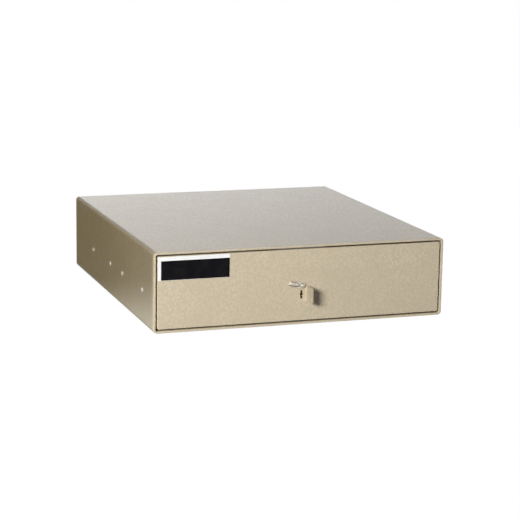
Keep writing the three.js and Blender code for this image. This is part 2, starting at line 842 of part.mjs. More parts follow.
// Lever with its pivot eye, the two pockets and gate for the stump, and its window for the key.
// Each window is as wide as the cut of the key that lifts it
function lever(index) {
  const shape = linkShape(0, keyZ, leverLobeRadius, 0, postZ, leverEyeRadius);
  shape.holes.push(roundHole(0, postZ, postRadius + seatGap, smallRoundSteps));
  shape.holes.push(roundHole(0, keyZ, (keyholeHeight / 2) * leverBiteShares[index]));
  const gate = stumpWidth / 2 + gateClearance;
  const upperZ = stumpZ + boltThrow;
  shape.holes.push(
    new THREE.Path([
      new THREE.Vector2(-gate, stumpZ - pocketHalf),
      new THREE.Vector2(gate + lowerPocketReach, stumpZ - pocketHalf),
      new THREE.Vector2(gate + lowerPocketReach, stumpZ + pocketHalf),
      new THREE.Vector2(gate, stumpZ + pocketHalf),
      new THREE.Vector2(gate, upperZ - pocketHalf),
      new THREE.Vector2(gate + upperPocketReach, upperZ - pocketHalf),
      new THREE.Vector2(gate + upperPocketReach, upperZ + pocketHalf),
      new THREE.Vector2(-gate, upperZ + pocketHalf),
    ]),
  );
  return alongY(shape, leversStartY + index * (leverSheet + leverGap), leverSheet);
}

// Bolt: a head that rises through the case, and a tail that carries the stump and the drive slot
function lockBolt() {
  const headBottomZ = lockTopZ - boltHeadHeight;
  const head = block(-boltWidth / 2, boltWidth / 2, tailEndY - boltSheet, tailEndY, headBottomZ, lockTopZ);
  const slotHalf = spigotRadius + gateClearance;
  const tailBottomZ = keyZ - boltThrow - slotHalf - boltTailFoot;
  const halfTail = boltTailWidth / 2;
  const tail = block(-halfTail, halfTail, tailStartY, tailEndY, tailBottomZ, lockTopZ - lockWall);
  const halfStump = stumpWidth / 2;
  const stumpEndY = tailStartY + boltTailSheet / 2;
  const [stumpBottom, stumpTop] = [stumpZ - halfStump, stumpZ + halfStump];
  const stump = block(-halfStump, halfStump, leversStartY, stumpEndY, stumpBottom, stumpTop);
  const startY = tailStartY - cutOverrun;
  const endY = tailEndY + cutOverrun;
  const postHalf = postRadius + gateClearance;
  const postSlot = block(-postHalf, postHalf, startY, endY, postZ - boltThrow - postHalf, postZ + postHalf);
  const spigotSlot = block(-slotHalf, slotHalf, startY, endY, keyZ - boltThrow - slotHalf, keyZ + slotHalf);
  const pinZ = keyZ - boltThrow / 2;
  const pinHalf = drivePinRadius + drivePinPlay;
  const yokeEndX = boltThrow / 2 + drivePinRadius + gateClearance;
  const yokeSlot = block(-drivePinRadius, yokeEndX, startY, endY, pinZ - pinHalf, pinZ + pinHalf);
  return cut(join(head, tail, stump), postSlot, spigotSlot, yokeSlot);
}

// Drum that the key enters and turns: a nose in the case's wall, a slotted curtain inside the levers,
// and a flange whose pin drives the bolt
function keyDrum() {
  const noseY = lockFrontY + seatGap;
  const noseEndY = lockFrontY + lockWall;
  const flangeEndY = drumFlangeY + drumFlangeSheet;
  const spigotEndY = capEndY - seatGap;
  const points = [
    [0, noseY],
    [drumNoseRadius, noseY],
    [drumNoseRadius, noseEndY],
    [drumCurtainRadius, noseEndY],
    [drumCurtainRadius, drumFlangeY],
    [drumFlangeRadius, drumFlangeY],
    [drumFlangeRadius, flangeEndY],
    [spigotRadius, flangeEndY],
    [spigotRadius, spigotEndY],
    [0, spigotEndY],
  ].map(([radius, y]) => new THREE.Vector2(radius, y));
  const body = new THREE.LatheGeometry(points, roundSteps).translate(0, 0, keyZ);
  const pinZ = keyZ - boltThrow / 2;
  const pinStartY = flangeEndY - drumFlangeSheet / 2;
  const pin = rodAlongY(drivePinRadius, pinStartY, tailEndY, 0, pinZ, smallRoundSteps);
  const halfWidth = keyholeWidth / 2;
  const halfHeight = keyholeHeight / 2;
  const [bottom, top] = [keyZ - halfHeight, keyZ + halfHeight];
  const slot = block(-halfWidth, halfWidth, noseY - cutOverrun, drumFlangeY, bottom, top);
  return cut(join(body, pin), slot);
}

// Comb of leaf springs on the case's side wall, one leaf lying along the edge of each lever
function leverSprings() {
  const clampOuterX = lockWidth / 2 - lockWall - seatGap;
  const clampInnerX = clampOuterX - springClampSheet;
  const clampBottomZ = stumpZ + springClampRise;
  const clampTopZ = clampBottomZ + springClampHeight;
  const clamp = block(clampInnerX, clampOuterX, leversStartY, leversEndY, clampBottomZ, clampTopZ);
  const slope = Math.asin((leverLobeRadius - leverEyeRadius) / (postZ - keyZ));
  const edgeNormal = new THREE.Vector2(Math.cos(slope), Math.sin(slope));
  const edgeDown = new THREE.Vector2(Math.sin(slope), -Math.cos(slope));
  const edgeFoot = new THREE.Vector2(0, postZ).addScaledVector(edgeNormal, leverEyeRadius);
  const touch = edgeFoot.clone().addScaledVector(edgeDown, postZ - stumpZ);
  touch.addScaledVector(edgeNormal, runningGap + springSheet / 2);
  const tip = touch.clone().addScaledVector(edgeDown, springRest);
  const anchorZ = clampBottomZ + springAnchorRise;
  const corners = [[clampInnerX + springClampSheet / 2, anchorZ], [touch.x, touch.y], [tip.x, tip.y]];
  const leafSection = foldedSection(corners, springSheet, springBladeBend);
  const leaves = [];
  for (let index = 0; index < leverCount; index += 1) {
    leaves.push(alongY(leafSection, leversStartY + index * (leverSheet + leverGap), leverSheet));
  }
  return join(clamp, ...leaves);
}

// Build

addPiece('casing_sleeve', casingSleeve(), hammerPaint);
addPiece('rear_panel', rearPanel(), hammerPaint);
addPiece('bolt_keep', boltKeep(), zincPlate);

for (const [sideName, side] of [['left', -1], ['right', 1]]) {
  addPiece(`${sideName}_slide_outer_member`, outerMember(side), zincPlate);
  addPiece(`${sideName}_slide_middle_member`, middleMember(side), zincPlate);
  addPiece(`${sideName}_slide_drawer_member`, drawerMember(side), zincPlate);
  const outerCage = ballCage(side, cageWebShare, outerBallShare, outerBallV);
  const innerCage = ballCage(side, innerCageWebShare, innerBallShare, innerBallV);
  addPiece(`${sideName}_outer_ball_cage`, outerCage, zincPlate);
  addPiece(`${sideName}_inner_ball_cage`, innerCage, zincPlate);
  addPiece(`${sideName}_slide_buffer`, slideBuffer(side), rubber);
  rivetDepthShares.forEach((share, i) => {
    addPiece(`${sideName}_slide_rivet_${i + 1}`, slideRivet(side, share), zincPlate);
  });
  slideScrewShares.forEach((share, i) => {
    addPiece(`${sideName}_slide_screw_${i + 1}`, slideScrew(side, share), zincPlate);
  });
}

addPiece('drawer_front', drawerFront(), hammerPaint);
addPiece('drawer_tray', drawerTray(), trayPaint);
addPiece('tray_front_wall', trayFrontWall(), trayPaint);
addPiece('tray_rear_wall', trayRearWall(), trayPaint);
addPiece('finger_pull', fingerPull(), hammerPaint);
studPlaces().forEach(([x, z], i) => {
  addPiece(`front_nut_${i + 1}`, frontNut(x, z), zincPlate);
});

addPiece('keyhole_cover', keyholeCover(), nickel);
addPiece('cover_spring_washer', coverSpringWasher(), springSteel);
addPiece('cover_rivet', coverRivet(), nickel);

addPiece('lock_case', lockCase(), zincPlate);
addPiece('lock_cap', lockCap(), zincPlate);
lockScrewPlaces().forEach(([x, z], i) => {
  addPiece(`lock_screw_${i + 1}`, lockScrew(x, z), zincPlate);
});
addPiece('lock_bolt', lockBolt(), brass);
addPiece('key_drum', keyDrum(), brass);
addPiece('lever_post', leverPost(), springSteel);
addPiece('lever_springs', leverSprings(), springSteel);
for (let index = 0; index < leverCount; index += 1) {
  addPiece(`lever_${index + 1}`, lever(index), brass);
}

export default safe;
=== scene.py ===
# Under desk drawer safe: beige hammer enamel on sheet steel, with zinc-plated slides and a lever lock.
# Metres, +Z up, the drawer's front faces -Y. The origin is the centre of the casing's underside.

import json
import math
import random

import bmesh
import bpy
from mathutils import Matrix, Vector


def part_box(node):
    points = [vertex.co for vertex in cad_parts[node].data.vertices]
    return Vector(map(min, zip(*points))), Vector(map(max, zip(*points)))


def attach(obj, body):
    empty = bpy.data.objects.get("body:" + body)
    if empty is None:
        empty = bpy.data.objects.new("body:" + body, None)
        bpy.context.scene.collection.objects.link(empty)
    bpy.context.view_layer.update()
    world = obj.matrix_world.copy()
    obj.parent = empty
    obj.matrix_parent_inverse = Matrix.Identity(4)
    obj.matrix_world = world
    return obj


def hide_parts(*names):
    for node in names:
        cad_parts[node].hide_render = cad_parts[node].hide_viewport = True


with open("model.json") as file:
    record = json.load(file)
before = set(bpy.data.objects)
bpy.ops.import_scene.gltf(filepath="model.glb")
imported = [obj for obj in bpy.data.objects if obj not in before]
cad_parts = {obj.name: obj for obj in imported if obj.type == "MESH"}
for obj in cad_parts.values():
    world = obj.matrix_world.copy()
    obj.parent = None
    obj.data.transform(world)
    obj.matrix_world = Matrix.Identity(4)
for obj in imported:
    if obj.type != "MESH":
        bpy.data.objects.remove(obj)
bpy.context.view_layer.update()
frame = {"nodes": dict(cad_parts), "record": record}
nodes = frame["nodes"]
MM = 0.001

# Scene helpers


def add_object(name, data):
    """A new object of the scene, at the origin."""
    made = bpy.data.objects.new(name, data)
    bpy.context.scene.collection.objects.link(made)
    return made


def end_mesh(name, shape):
    """The mesh that a finished bmesh leaves."""
    mesh = bpy.data.meshes.new(name)
    shape.to_mesh(mesh)
    shape.free()
    return mesh


# Camera

CAMERA_PLACE = Vector((-0.77817, -2.29023, 0.55041))
CAMERA_AZIMUTH = math.radians(-19.1306)
CAMERA_ELEVATION = math.radians(11.8718)
CAMERA_ROLL = math.radians(0.9086)
CAMERA_LENS = 120.8
CAMERA_SENSOR = 36
CAMERA_NEAR = 0.05
CAMERA_FAR = 60


def make_camera():
    """Camera at the photograph's place and angle, turned a little about its own axis."""
    back = Vector(
        (
            math.sin(CAMERA_AZIMUTH) * math.cos(CAMERA_ELEVATION),
            -math.cos(CAMERA_AZIMUTH) * math.cos(CAMERA_ELEVATION),
            math.sin(CAMERA_ELEVATION),
        )
    )
    level_right = (-back).cross(Vector((0, 0, 1))).normalized()
    level_up = level_right.cross(-back)
    right = level_right * math.cos(CAMERA_ROLL) + level_up * math.sin(CAMERA_ROLL)
    up = level_up * math.cos(CAMERA_ROLL) - level_right * math.sin(CAMERA_ROLL)
    data = bpy.data.cameras.new("photo_camera")
    data.sensor_fit = "HORIZONTAL"
    data.sensor_width = CAMERA_SENSOR
    data.lens = CAMERA_LENS
    data.clip_start = CAMERA_NEAR
    data.clip_end = CAMERA_FAR
    camera = add_object("photo_camera", data)
    turn = Matrix((right, up, back)).transposed().to_4x4()
    camera.matrix_world = Matrix.Translation(CAMERA_PLACE) @ turn
    bpy.context.scene.camera = camera


make_camera()
bpy.context.scene.view_settings.view_transform = "Standard"

# Node helpers


def add_node(tree, kind, values=None, **settings):
    """A node with its settings, and with each input linked to a socket or given a value."""
    made = tree.nodes.new(kind)
    for name, value in settings.items():
        setattr(made, name, value)
    for socket, value in (values or {}).items():
        if isinstance(value, bpy.types.NodeSocket):
            tree.links.new(value, made.inputs[socket])
        else:
            made.inputs[socket].default_value = value
    return made


def maths(tree, operation, first, second=0.0, clamp=False):
    made = add_node(tree, "ShaderNodeMath", {0: first, 1: second}, operation=operation, use_clamp=clamp)
    return made.outputs[0]


def vector_maths(tree, operation, first, second):
    return add_node(tree, "ShaderNodeVectorMath", {0: first, 1: second}, operation=operation).outputs


def remap(tree, value, seen, given=(0.0, 1.0), smooth=True):
    """A value moved from the range in which it is seen to the one that is given."""
    made = add_node(
        tree,
        "ShaderNodeMapRange",
        {"Value": value, "From Min": seen[0], "From Max": seen[1], "To Min": given[0], "To Max": given[1]},
        interpolation_type="SMOOTHSTEP" if smooth else "LINEAR",
    )
    return made.outputs["Result"]


# The mix node's sockets for its share and its two colours, and its colour output, by number: names repeat
MIX_SHARE = 0
MIX_FIRST = 6
MIX_SECOND = 7
MIX_COLOUR = 2


def blend_colours(tree, share, first, second):
    """The first colour, or by its share the second."""
    pair = [value if isinstance(value, bpy.types.NodeSocket) else (*value, 1) for value in (first, second)]
    values = {MIX_SHARE: share, MIX_FIRST: pair[0], MIX_SECOND: pair[1]}
    return add_node(tree, "ShaderNodeMix", values, data_type="RGBA").outputs[MIX_COLOUR]


def noise(tree, vector, scale, detail=2.0, roughness=0.5):
    values = {"Vector": vector, "Scale": scale, "Detail": detail, "Roughness": roughness}
    return add_node(tree, "ShaderNodeTexNoise", values).outputs["Fac"]


def new_group(name, inputs, outputs):
    group = bpy.data.node_groups.new(name, "ShaderNodeTree")
    for socket, kind, default in inputs:
        made = group.interface.new_socket(socket, in_out="INPUT", socket_type=kind)
        made.default_value = default
    for socket, kind in outputs:
        group.interface.new_socket(socket, in_out="OUTPUT", socket_type=kind)
    start = group.nodes.new("NodeGroupInput")
    end = group.nodes.new("NodeGroupOutput")
    return group, start.outputs, end.inputs


def place_group(tree, group, values):
    return add_node(tree, "ShaderNodeGroup", values, node_tree=group).outputs


# Spans of a noise value: nearly all of it, most of it, and its middle

NOISE_MOST = (0.2, 0.8)
NOISE_BODY = (0.3, 0.7)
NOISE_MIDDLE = (0.35, 0.65)
WHOLE = (0.0, 1.0)

# Effects that several finishes share

POOL_WOBBLES_PER_METRE = 170.0
POOL_WOBBLE = 4 * MM
POOL_SMOOTHNESS = 0.55
POOL_RIM_SPAN = (0.15, 0.75)
ENAMEL_GRAINS_PER_METRE = 1900.0
ENAMEL_GRAIN_SHARE = 0.12
ENAMEL_DRIFTS_PER_METRE = 21.0


def hammer_effect():
    """Shallow round pools with raised rims, as a hammer enamel dries, and its slow drift of tone."""
    group, given, made = new_group(
        "hammer_effect",
        [("Vector", "NodeSocketVector", (0, 0, 0)), ("Pools per Metre", "NodeSocketFloat", 260.0)],
        [("Height", "NodeSocketFloat"), ("Rim", "NodeSocketFloat"), ("Drift", "NodeSocketFloat")],
    )
    vector = given["Vector"]
    wobble = add_node(
        group, "ShaderNodeTexNoise", {"Vector": vector, "Scale": POOL_WOBBLES_PER_METRE, "Detail": 2.0}
    )
    centred = vector_maths(group, "SUBTRACT", wobble.outputs["Color"], (0.5, 0.5, 0.5))
    pushed = vector_maths(group, "MULTIPLY", centred[0], (POOL_WOBBLE, POOL_WOBBLE, POOL_WOBBLE))
    bent = vector_maths(group, "ADD", vector, pushed[0])
    cells = add_node(
        group,
        "ShaderNodeTexVoronoi",
        {"Vector": bent[0], "Scale": given["Pools per Metre"], "Smoothness": POOL_SMOOTHNESS},
        feature="SMOOTH_F1",
    )
    rims = remap(group, cells.outputs["Distance"], POOL_RIM_SPAN)
    grain = noise(group, vector, ENAMEL_GRAINS_PER_METRE)
    height = maths(group, "ADD", rims, maths(group, "MULTIPLY", grain, ENAMEL_GRAIN_SHARE))
    drift = noise(group, vector, ENAMEL_DRIFTS_PER_METRE, detail=3.0, roughness=0.6)
    group.links.new(height, made["Height"])
    group.links.new(rims, made["Rim"])
    group.links.new(drift, made["Drift"])
    return group


EDGE_BEND_SPAN = (0.995, 0.86)
EDGE_SPOTS_PER_METRE = 240.0
EDGE_SPOT_SPAN = (0.42, 0.66)
EDGE_SPOT_LEVELS = (0.15, 1.0)


def rubbed_edges():
    """Mask of the edges that hands and neighbours rub, broken up by noise."""
    group, given, made = new_group(
        "rubbed_edges",
        [
            ("Vector", "NodeSocketVector", (0, 0, 0)),
            ("Width", "NodeSocketFloat", 0.8 * MM),
            ("Amount", "NodeSocketFloat", 0.5),
        ],
        [("Mask", "NodeSocketFloat")],
    )
    rounded = add_node(group, "ShaderNodeBevel", {"Radius": given["Width"]}, samples=6)
    geometry = group.nodes.new("ShaderNodeNewGeometry")
    along = vector_maths(group, "DOT_PRODUCT", rounded.outputs[0], geometry.outputs["Normal"])
    bend = remap(group, along["Value"], EDGE_BEND_SPAN)
    grain = noise(group, given["Vector"], EDGE_SPOTS_PER_METRE, detail=4.0, roughness=0.65)
    spots = remap(group, grain, EDGE_SPOT_SPAN, EDGE_SPOT_LEVELS)
    mask = maths(group, "MULTIPLY", maths(group, "MULTIPLY", bend, spots), given["Amount"], clamp=True)
    group.links.new(mask, made["Mask"])
    return group


LINES_PER_METRE = 900.0
DEEP_LINES_PER_METRE = 260.0
DEEP_LINE_SPAN = (0.68, 0.78)


def fine_scratches():
    """Drawn or brushed lines along one direction of a stretched vector, with a few deeper ones."""
    group, given, made = new_group(
        "fine_scratches",
        [("Vector", "NodeSocketVector", (0, 0, 0)), ("Stretch", "NodeSocketVector", (1, 1, 1))],
        [("Lines", "NodeSocketFloat"), ("Deep", "NodeSocketFloat")],
    )
    pulled = vector_maths(group, "MULTIPLY", given["Vector"], given["Stretch"])[0]
    lines = noise(group, pulled, LINES_PER_METRE, detail=4.0, roughness=0.7)
    deep = remap(group, noise(group, pulled, DEEP_LINES_PER_METRE), DEEP_LINE_SPAN)
    group.links.new(lines, made["Lines"])
    group.links.new(deep, made["Deep"])
    return group


SPANGLES_PER_PATCH = 6.0


def blotches():
    """Slow patches, as of passivated zinc, grease or a dull oxide film, and the zinc's fine crystals."""
    group, given, made = new_group(
        "blotches",
        [("Vector", "NodeSocketVector", (0, 0, 0)), ("Per Metre", "NodeSocketFloat", 60.0)],
        [("Patch", "NodeSocketFloat"), ("Spangle", "NodeSocketFloat")],
    )
    patch = noise(group, given["Vector"], given["Per Metre"], detail=4.0, roughness=0.6)
    scale = maths(group, "MULTIPLY", given["Per Metre"], SPANGLES_PER_PATCH)
    cells = add_node(
        group, "ShaderNodeTexVoronoi", {"Vector": given["Vector"], "Scale": scale}, feature="F1"
    )
    tone = add_node(group, "ShaderNodeSeparateColor", {0: cells.outputs["Color"]})
    group.links.new(remap(group, patch, NOISE_BODY), made["Patch"])
    group.links.new(tone.outputs[0], made["Spangle"])
    return group


HAMMER = hammer_effect()
EDGES = rubbed_edges()
SCRATCHES = fine_scratches()
PATCHES = blotches()

# Finishes


def new_finish(name, **constants):
    """A material with constants on its shader, its tree, the shader's inputs and Object coordinates."""
    material = bpy.data.materials.new(name)
    material.use_nodes = True
    tree = material.node_tree
    surface = tree.nodes["Principled BSDF"]
    for socket, value in constants.items():
        surface.inputs[socket.replace("_", " ")].default_value = value
    place = tree.nodes.new("ShaderNodeTexCoord").outputs["Object"]
    return material, tree, surface.inputs, place


def set_colour(tree, surface, share, first, second):
    tree.links.new(blend_colours(tree, share, first, second), surface["Base Color"])


def set_roughness(tree, surface, value, seen, roughness):
    tree.links.new(remap(tree, value, seen, roughness), surface["Roughness"])


def raise_bump(tree, surface, height, strength, distance):
    bump = add_node(tree, "ShaderNodeBump", {"Strength": strength, "Distance": distance, "Height": height})
    tree.links.new(bump.outputs[0], surface["Normal"])


ENAMEL_POOL = (0.592, 0.507, 0.367)
ENAMEL_RIM = (0.557, 0.475, 0.338)
ENAMEL_PALE = (0.642, 0.552, 0.405)
ENAMEL_POOLS_PER_METRE = 290.0
ENAMEL_WORN_WIDTH = 0.7 * MM
ENAMEL_WEAR = 0.25
ENAMEL_ROUGHNESS = (0.38, 0.48)
ENAMEL_BUMP = {"strength": 0.28, "distance": 0.4 * MM}
BARE_STEEL = (0.40, 0.38, 0.35)
# Painted shade: the dark brown that a shaded copy of the enamel turns towards, in patches
PAINTED_SHADE_BROWN = (0.22, 0.17, 0.11)
SHADE_PATCHES_PER_METRE = 120.0
SHADE_PATCH_LEVELS = (0.7, 1.0)


def hammer_enamel(name, shade_share=0.0):
    material, tree, surface, place = new_finish(
        name, IOR=1.5, Specular_IOR_Level=0.35, Coat_Weight=1.0, Coat_Roughness=0.22
    )
    pools = place_group(tree, HAMMER, {"Vector": place, "Pools per Metre": ENAMEL_POOLS_PER_METRE})
    toned = blend_colours(tree, remap(tree, pools["Drift"], NOISE_MIDDLE), ENAMEL_POOL, ENAMEL_PALE)
    rimmed = blend_colours(tree, pools["Rim"], toned, ENAMEL_RIM)
    rubbed = place_group(tree, EDGES, {"Vector": place, "Width": ENAMEL_WORN_WIDTH, "Amount": ENAMEL_WEAR})
    worn = blend_colours(tree, rubbed["Mask"], rimmed, BARE_STEEL)
    # Painted shade: by the given share the enamel darkens in patches towards a dark brown
    patches = remap(tree, noise(tree, place, SHADE_PATCHES_PER_METRE), NOISE_BODY, SHADE_PATCH_LEVELS)
    set_colour(tree, surface, maths(tree, "MULTIPLY", patches, shade_share), worn, PAINTED_SHADE_BROWN)
    set_roughness(tree, surface, pools["Rim"], WHOLE, ENAMEL_ROUGHNESS)
    raise_bump(tree, surface, pools["Height"], **ENAMEL_BUMP)
    return material


POWDER_LIGHT = (0.55, 0.45, 0.295)
POWDER_DARK = (0.47, 0.38, 0.24)
POWDER_SCUFF = (0.7, 0.64, 0.53)
POWDER_SCUFF_SHARE = 0.18
POWDER_SCUFF_STRETCH = (0.5, 0.06, 0.5)
POWDER_PEELS_PER_METRE = 620.0
POWDER_DRIFTS_PER_METRE = 14.0
POWDER_WORN_WIDTH = 0.6 * MM
POWDER_WEAR = 0.45
POWDER_ROUGHNESS = (0.42, 0.6)
POWDER_BUMP = {"strength": 0.25, "distance": 0.3 * MM}


def powder_coat():
    material, tree, surface, place = new_finish("powder_coat", Coat_Weight=0.1, Coat_Roughness=0.3)
    peel = noise(tree, place, POWDER_PEELS_PER_METRE, detail=3.0, roughness=0.55)
    drift = noise(tree, place, POWDER_DRIFTS_PER_METRE, detail=3.0, roughness=0.6)
    toned = blend_colours(tree, remap(tree, drift, NOISE_MIDDLE), POWDER_LIGHT, POWDER_DARK)
    rubbed = place_group(tree, EDGES, {"Vector": place, "Width": POWDER_WORN_WIDTH, "Amount": POWDER_WEAR})
    lines = place_group(tree, SCRATCHES, {"Vector": place, "Stretch": POWDER_SCUFF_STRETCH})
    scuffs = maths(tree, "MULTIPLY", lines["Deep"], POWDER_SCUFF_SHARE)
    scuffed = blend_colours(tree, scuffs, toned, POWDER_SCUFF)
    set_colour(tree, surface, rubbed["Mask"], scuffed, BARE_STEEL)
    set_roughness(tree, surface, peel, NOISE_MOST, POWDER_ROUGHNESS)
    raise_bump(tree, surface, peel, **POWDER_BUMP)
    return material


ZINC_COOL = (0.66, 0.68, 0.72)
ZINC_WARM = (0.72, 0.71, 0.66)
ZINC_SPANGLE = (0.48, 0.5, 0.54)
ZINC_SPANGLE_SHARE = 0.16
ZINC_SCRATCH = (0.85, 0.85, 0.85)
ZINC_SCRATCH_SHARE = 0.3
ZINC_PATCHES_PER_METRE = 45.0
ZINC_LINE_SPAN = (0.25, 0.75)
ZINC_SMOOTHEST = 0.28
ZINC_ROUGHEST = 0.44
ZINC_BUMP = {"strength": 0.12, "distance": 0.2 * MM}
SLIDE_GREASE = (0.2, 0.16, 0.1)


def plated_zinc(name, stretch, grease=0.0, polish=0.0):
    material, tree, surface, place = new_finish(name, Metallic=0.95)
    patches = place_group(tree, PATCHES, {"Vector": place, "Per Metre": ZINC_PATCHES_PER_METRE})
    lines = place_group(tree, SCRATCHES, {"Vector": place, "Stretch": stretch})
    toned = blend_colours(tree, patches["Patch"], ZINC_COOL, ZINC_WARM)
    spangles = maths(tree, "MULTIPLY", patches["Spangle"], ZINC_SPANGLE_SHARE)
    spangled = blend_colours(tree, spangles, toned, ZINC_SPANGLE)
    marks = maths(tree, "MULTIPLY", lines["Deep"], ZINC_SCRATCH_SHARE)
    scratched = blend_colours(tree, marks, spangled, ZINC_SCRATCH)
    set_colour(tree, surface, maths(tree, "MULTIPLY", patches["Patch"], grease), scratched, SLIDE_GREASE)
    roughness = (ZINC_SMOOTHEST - polish, ZINC_ROUGHEST - polish)
    set_roughness(tree, surface, lines["Lines"], ZINC_LINE_SPAN, roughness)
    raise_bump(tree, surface, lines["Lines"], **ZINC_BUMP)
    return material


NICKEL_LIGHT = (0.92, 0.84, 0.70)
NICKEL_DARK = (0.78, 0.71, 0.58)
# Painted shade: the dark brown that the nickel's downward faces take
NICKEL_UNDERSIDE_SHADE = (0.05, 0.038, 0.024)
NICKEL_METALLIC = 0.6
NICKEL_STRETCH = (1.0, 1.0, 0.12)
NICKEL_PATCHES_PER_METRE = 160.0
NICKEL_ROUGHNESS = (0.2, 0.34)
NICKEL_BUMP = {"strength": 0.08, "distance": 0.1 * MM}
UNDERSIDE_SHADE_SLOPES = (-0.25, -0.6)
UNDERSIDE_SHADE_LEVELS = (0.0, 0.94)


def bright_nickel():
    """Handled nickel, with painted shade where a face looks down: dark brown and not metal there."""
    material, tree, surface, place = new_finish("bright_nickel")
    lines = place_group(tree, SCRATCHES, {"Vector": place, "Stretch": NICKEL_STRETCH})
    patches = place_group(tree, PATCHES, {"Vector": place, "Per Metre": NICKEL_PATCHES_PER_METRE})
    colour = blend_colours(tree, patches["Patch"], NICKEL_LIGHT, NICKEL_DARK)
    # Painted shade: faces that look down turn dark brown and lose their metal
    normal = tree.nodes["Texture Coordinate"].outputs["Normal"]
    facing = add_node(tree, "ShaderNodeSeparateXYZ", {0: normal})
    underside_shade = remap(tree, facing.outputs["Z"], UNDERSIDE_SHADE_SLOPES, UNDERSIDE_SHADE_LEVELS)
    set_colour(tree, surface, underside_shade, colour, NICKEL_UNDERSIDE_SHADE)
    tree.links.new(remap(tree, underside_shade, WHOLE, (NICKEL_METALLIC, 0.0)), surface["Metallic"])
    set_roughness(tree, surface, lines["Lines"], NOISE_BODY, NICKEL_ROUGHNESS)
    raise_bump(tree, surface, lines["Lines"], **NICKEL_BUMP)
    return material


def worked_metal(name, metallic, stretch, patches_per_metre, colours, roughness, bump):
    """Bare metal with tool marks along its stretch and patches of two tones."""
    material, tree, surface, place = new_finish(name, Metallic=metallic)
    lines = place_group(tree, SCRATCHES, {"Vector": place, "Stretch": stretch})
    patches = place_group(tree, PATCHES, {"Vector": place, "Per Metre": patches_per_metre})
    set_colour(tree, surface, patches["Patch"], *colours)
    set_roughness(tree, surface, lines["Lines"], NOISE_BODY, roughness)
    if bump:
        raise_bump(tree, surface, lines["Lines"], **bump)
    return material


def matt_aluminium():
    return worked_metal(
        "matt_aluminium",
        metallic=0.1,
        stretch=(1.0, 1.0, 1.0),
        patches_per_metre=200.0,
        colours=((0.98, 0.96, 0.9), (0.92, 0.9, 0.84)),
        roughness=(0.42, 0.6),
        bump={"strength": 0.1, "distance": 0.1 * MM},
    )


def machined_brass():
    return worked_metal(
        "machined_brass",
        metallic=1.0,
        stretch=(0.08, 1.0, 1.0),
        patches_per_metre=90.0,
        colours=((0.78, 0.58, 0.26), (0.56, 0.39, 0.17)),
        roughness=(0.24, 0.42),
        bump={"strength": 0.15, "distance": 0.1 * MM},
    )


def tempered_steel():
    return worked_metal(
        "tempered_steel",
        metallic=1.0,
        stretch=(1.0, 0.1, 1.0),
        patches_per_metre=120.0,
        colours=((0.36, 0.36, 0.39), (0.25, 0.23, 0.24)),
        roughness=(0.24, 0.4),
        bump=None,
    )


BALL_CLEAN = (0.74, 0.74, 0.75)
BALL_FILM = (0.58, 0.55, 0.48)
BALL_FILMS_PER_METRE = 300.0
BALL_ROUGHNESS = (0.08, 0.2)


def ball_steel():
    material, tree, surface, place = new_finish("ball_steel", Metallic=1.0)
    film = place_group(tree, PATCHES, {"Vector": place, "Per Metre": BALL_FILMS_PER_METRE})
    set_colour(tree, surface, film["Patch"], BALL_CLEAN, BALL_FILM)
    set_roughness(tree, surface, film["Patch"], WHOLE, BALL_ROUGHNESS)
    return material


RUBBER_BLACK = (0.02, 0.02, 0.021)
RUBBER_BLOOM = (0.05, 0.05, 0.052)
RUBBER_GRAINS_PER_METRE = 2400.0
RUBBER_BLOOMS_PER_METRE = 130.0
RUBBER_BLOOM_SPAN = (0.35, 0.7)
RUBBER_ROUGHNESS = (0.62, 0.82)
RUBBER_BUMP = {"strength": 0.3, "distance": 0.2 * MM}


def moulded_rubber():
    material, tree, surface, place = new_finish("moulded_rubber")
    grain = noise(tree, place, RUBBER_GRAINS_PER_METRE, detail=3.0, roughness=0.6)
    blooms = noise(tree, place, RUBBER_BLOOMS_PER_METRE, detail=3.0, roughness=0.6)
    bloomed = remap(tree, blooms, RUBBER_BLOOM_SPAN)
    set_colour(tree, surface, bloomed, RUBBER_BLACK, RUBBER_BLOOM)
    set_roughness(tree, surface, grain, NOISE_MOST, RUBBER_ROUGHNESS)
    raise_bump(tree, surface, grain, **RUBBER_BUMP)
    return material


FILM_GRAINS_PER_METRE = 1500.0
FILM_DRIFTS_PER_METRE = 90.0
FILM_ROUGHNESS = (0.34, 0.46)
FILM_BUMP = {"strength": 0.1, "distance": 0.1 * MM}


def label_film(name, light, dark, gloss):
    material, tree, surface, place = new_finish(name, Specular_IOR_Level=gloss)
    grain = noise(tree, place, FILM_GRAINS_PER_METRE, detail=3.0, roughness=0.6)
    drift = remap(tree, noise(tree, place, FILM_DRIFTS_PER_METRE), NOISE_BODY)
    set_colour(tree, surface, drift, light, dark)
    set_roughness(tree, surface, grain, NOISE_MOST, FILM_ROUGHNESS)
    raise_bump(tree, surface, grain, **FILM_BUMP)
    return material


enamel = hammer_enamel("hammer_enamel")
# A darker copy of the enamel, as painted shade on the pull
shaded_enamel = hammer_enamel("shaded_enamel", shade_share=0.4)
powder = powder_coat()
zinc_drawn = plated_zinc("zinc_drawn", (1.0, 0.05, 1.0), grease=0.18)
zinc_turned = plated_zinc("zinc_turned", (1.0, 1.0, 1.0), polish=0.06)
zinc_cast = plated_zinc("zinc_cast", (0.7, 0.7, 0.7))
nickel = bright_nickel()
aluminium = matt_aluminium()
brass = machined_brass()
tempered = tempered_steel()
balls_finish = ball_steel()
rubber = moulded_rubber()
label_white = label_film("label_white", (0.9, 0.9, 0.89), (0.85, 0.85, 0.84), gloss=0.4)
label_black = label_film("label_black", (0.004, 0.004, 0.005), (0.008, 0.008, 0.009), gloss=0.08)

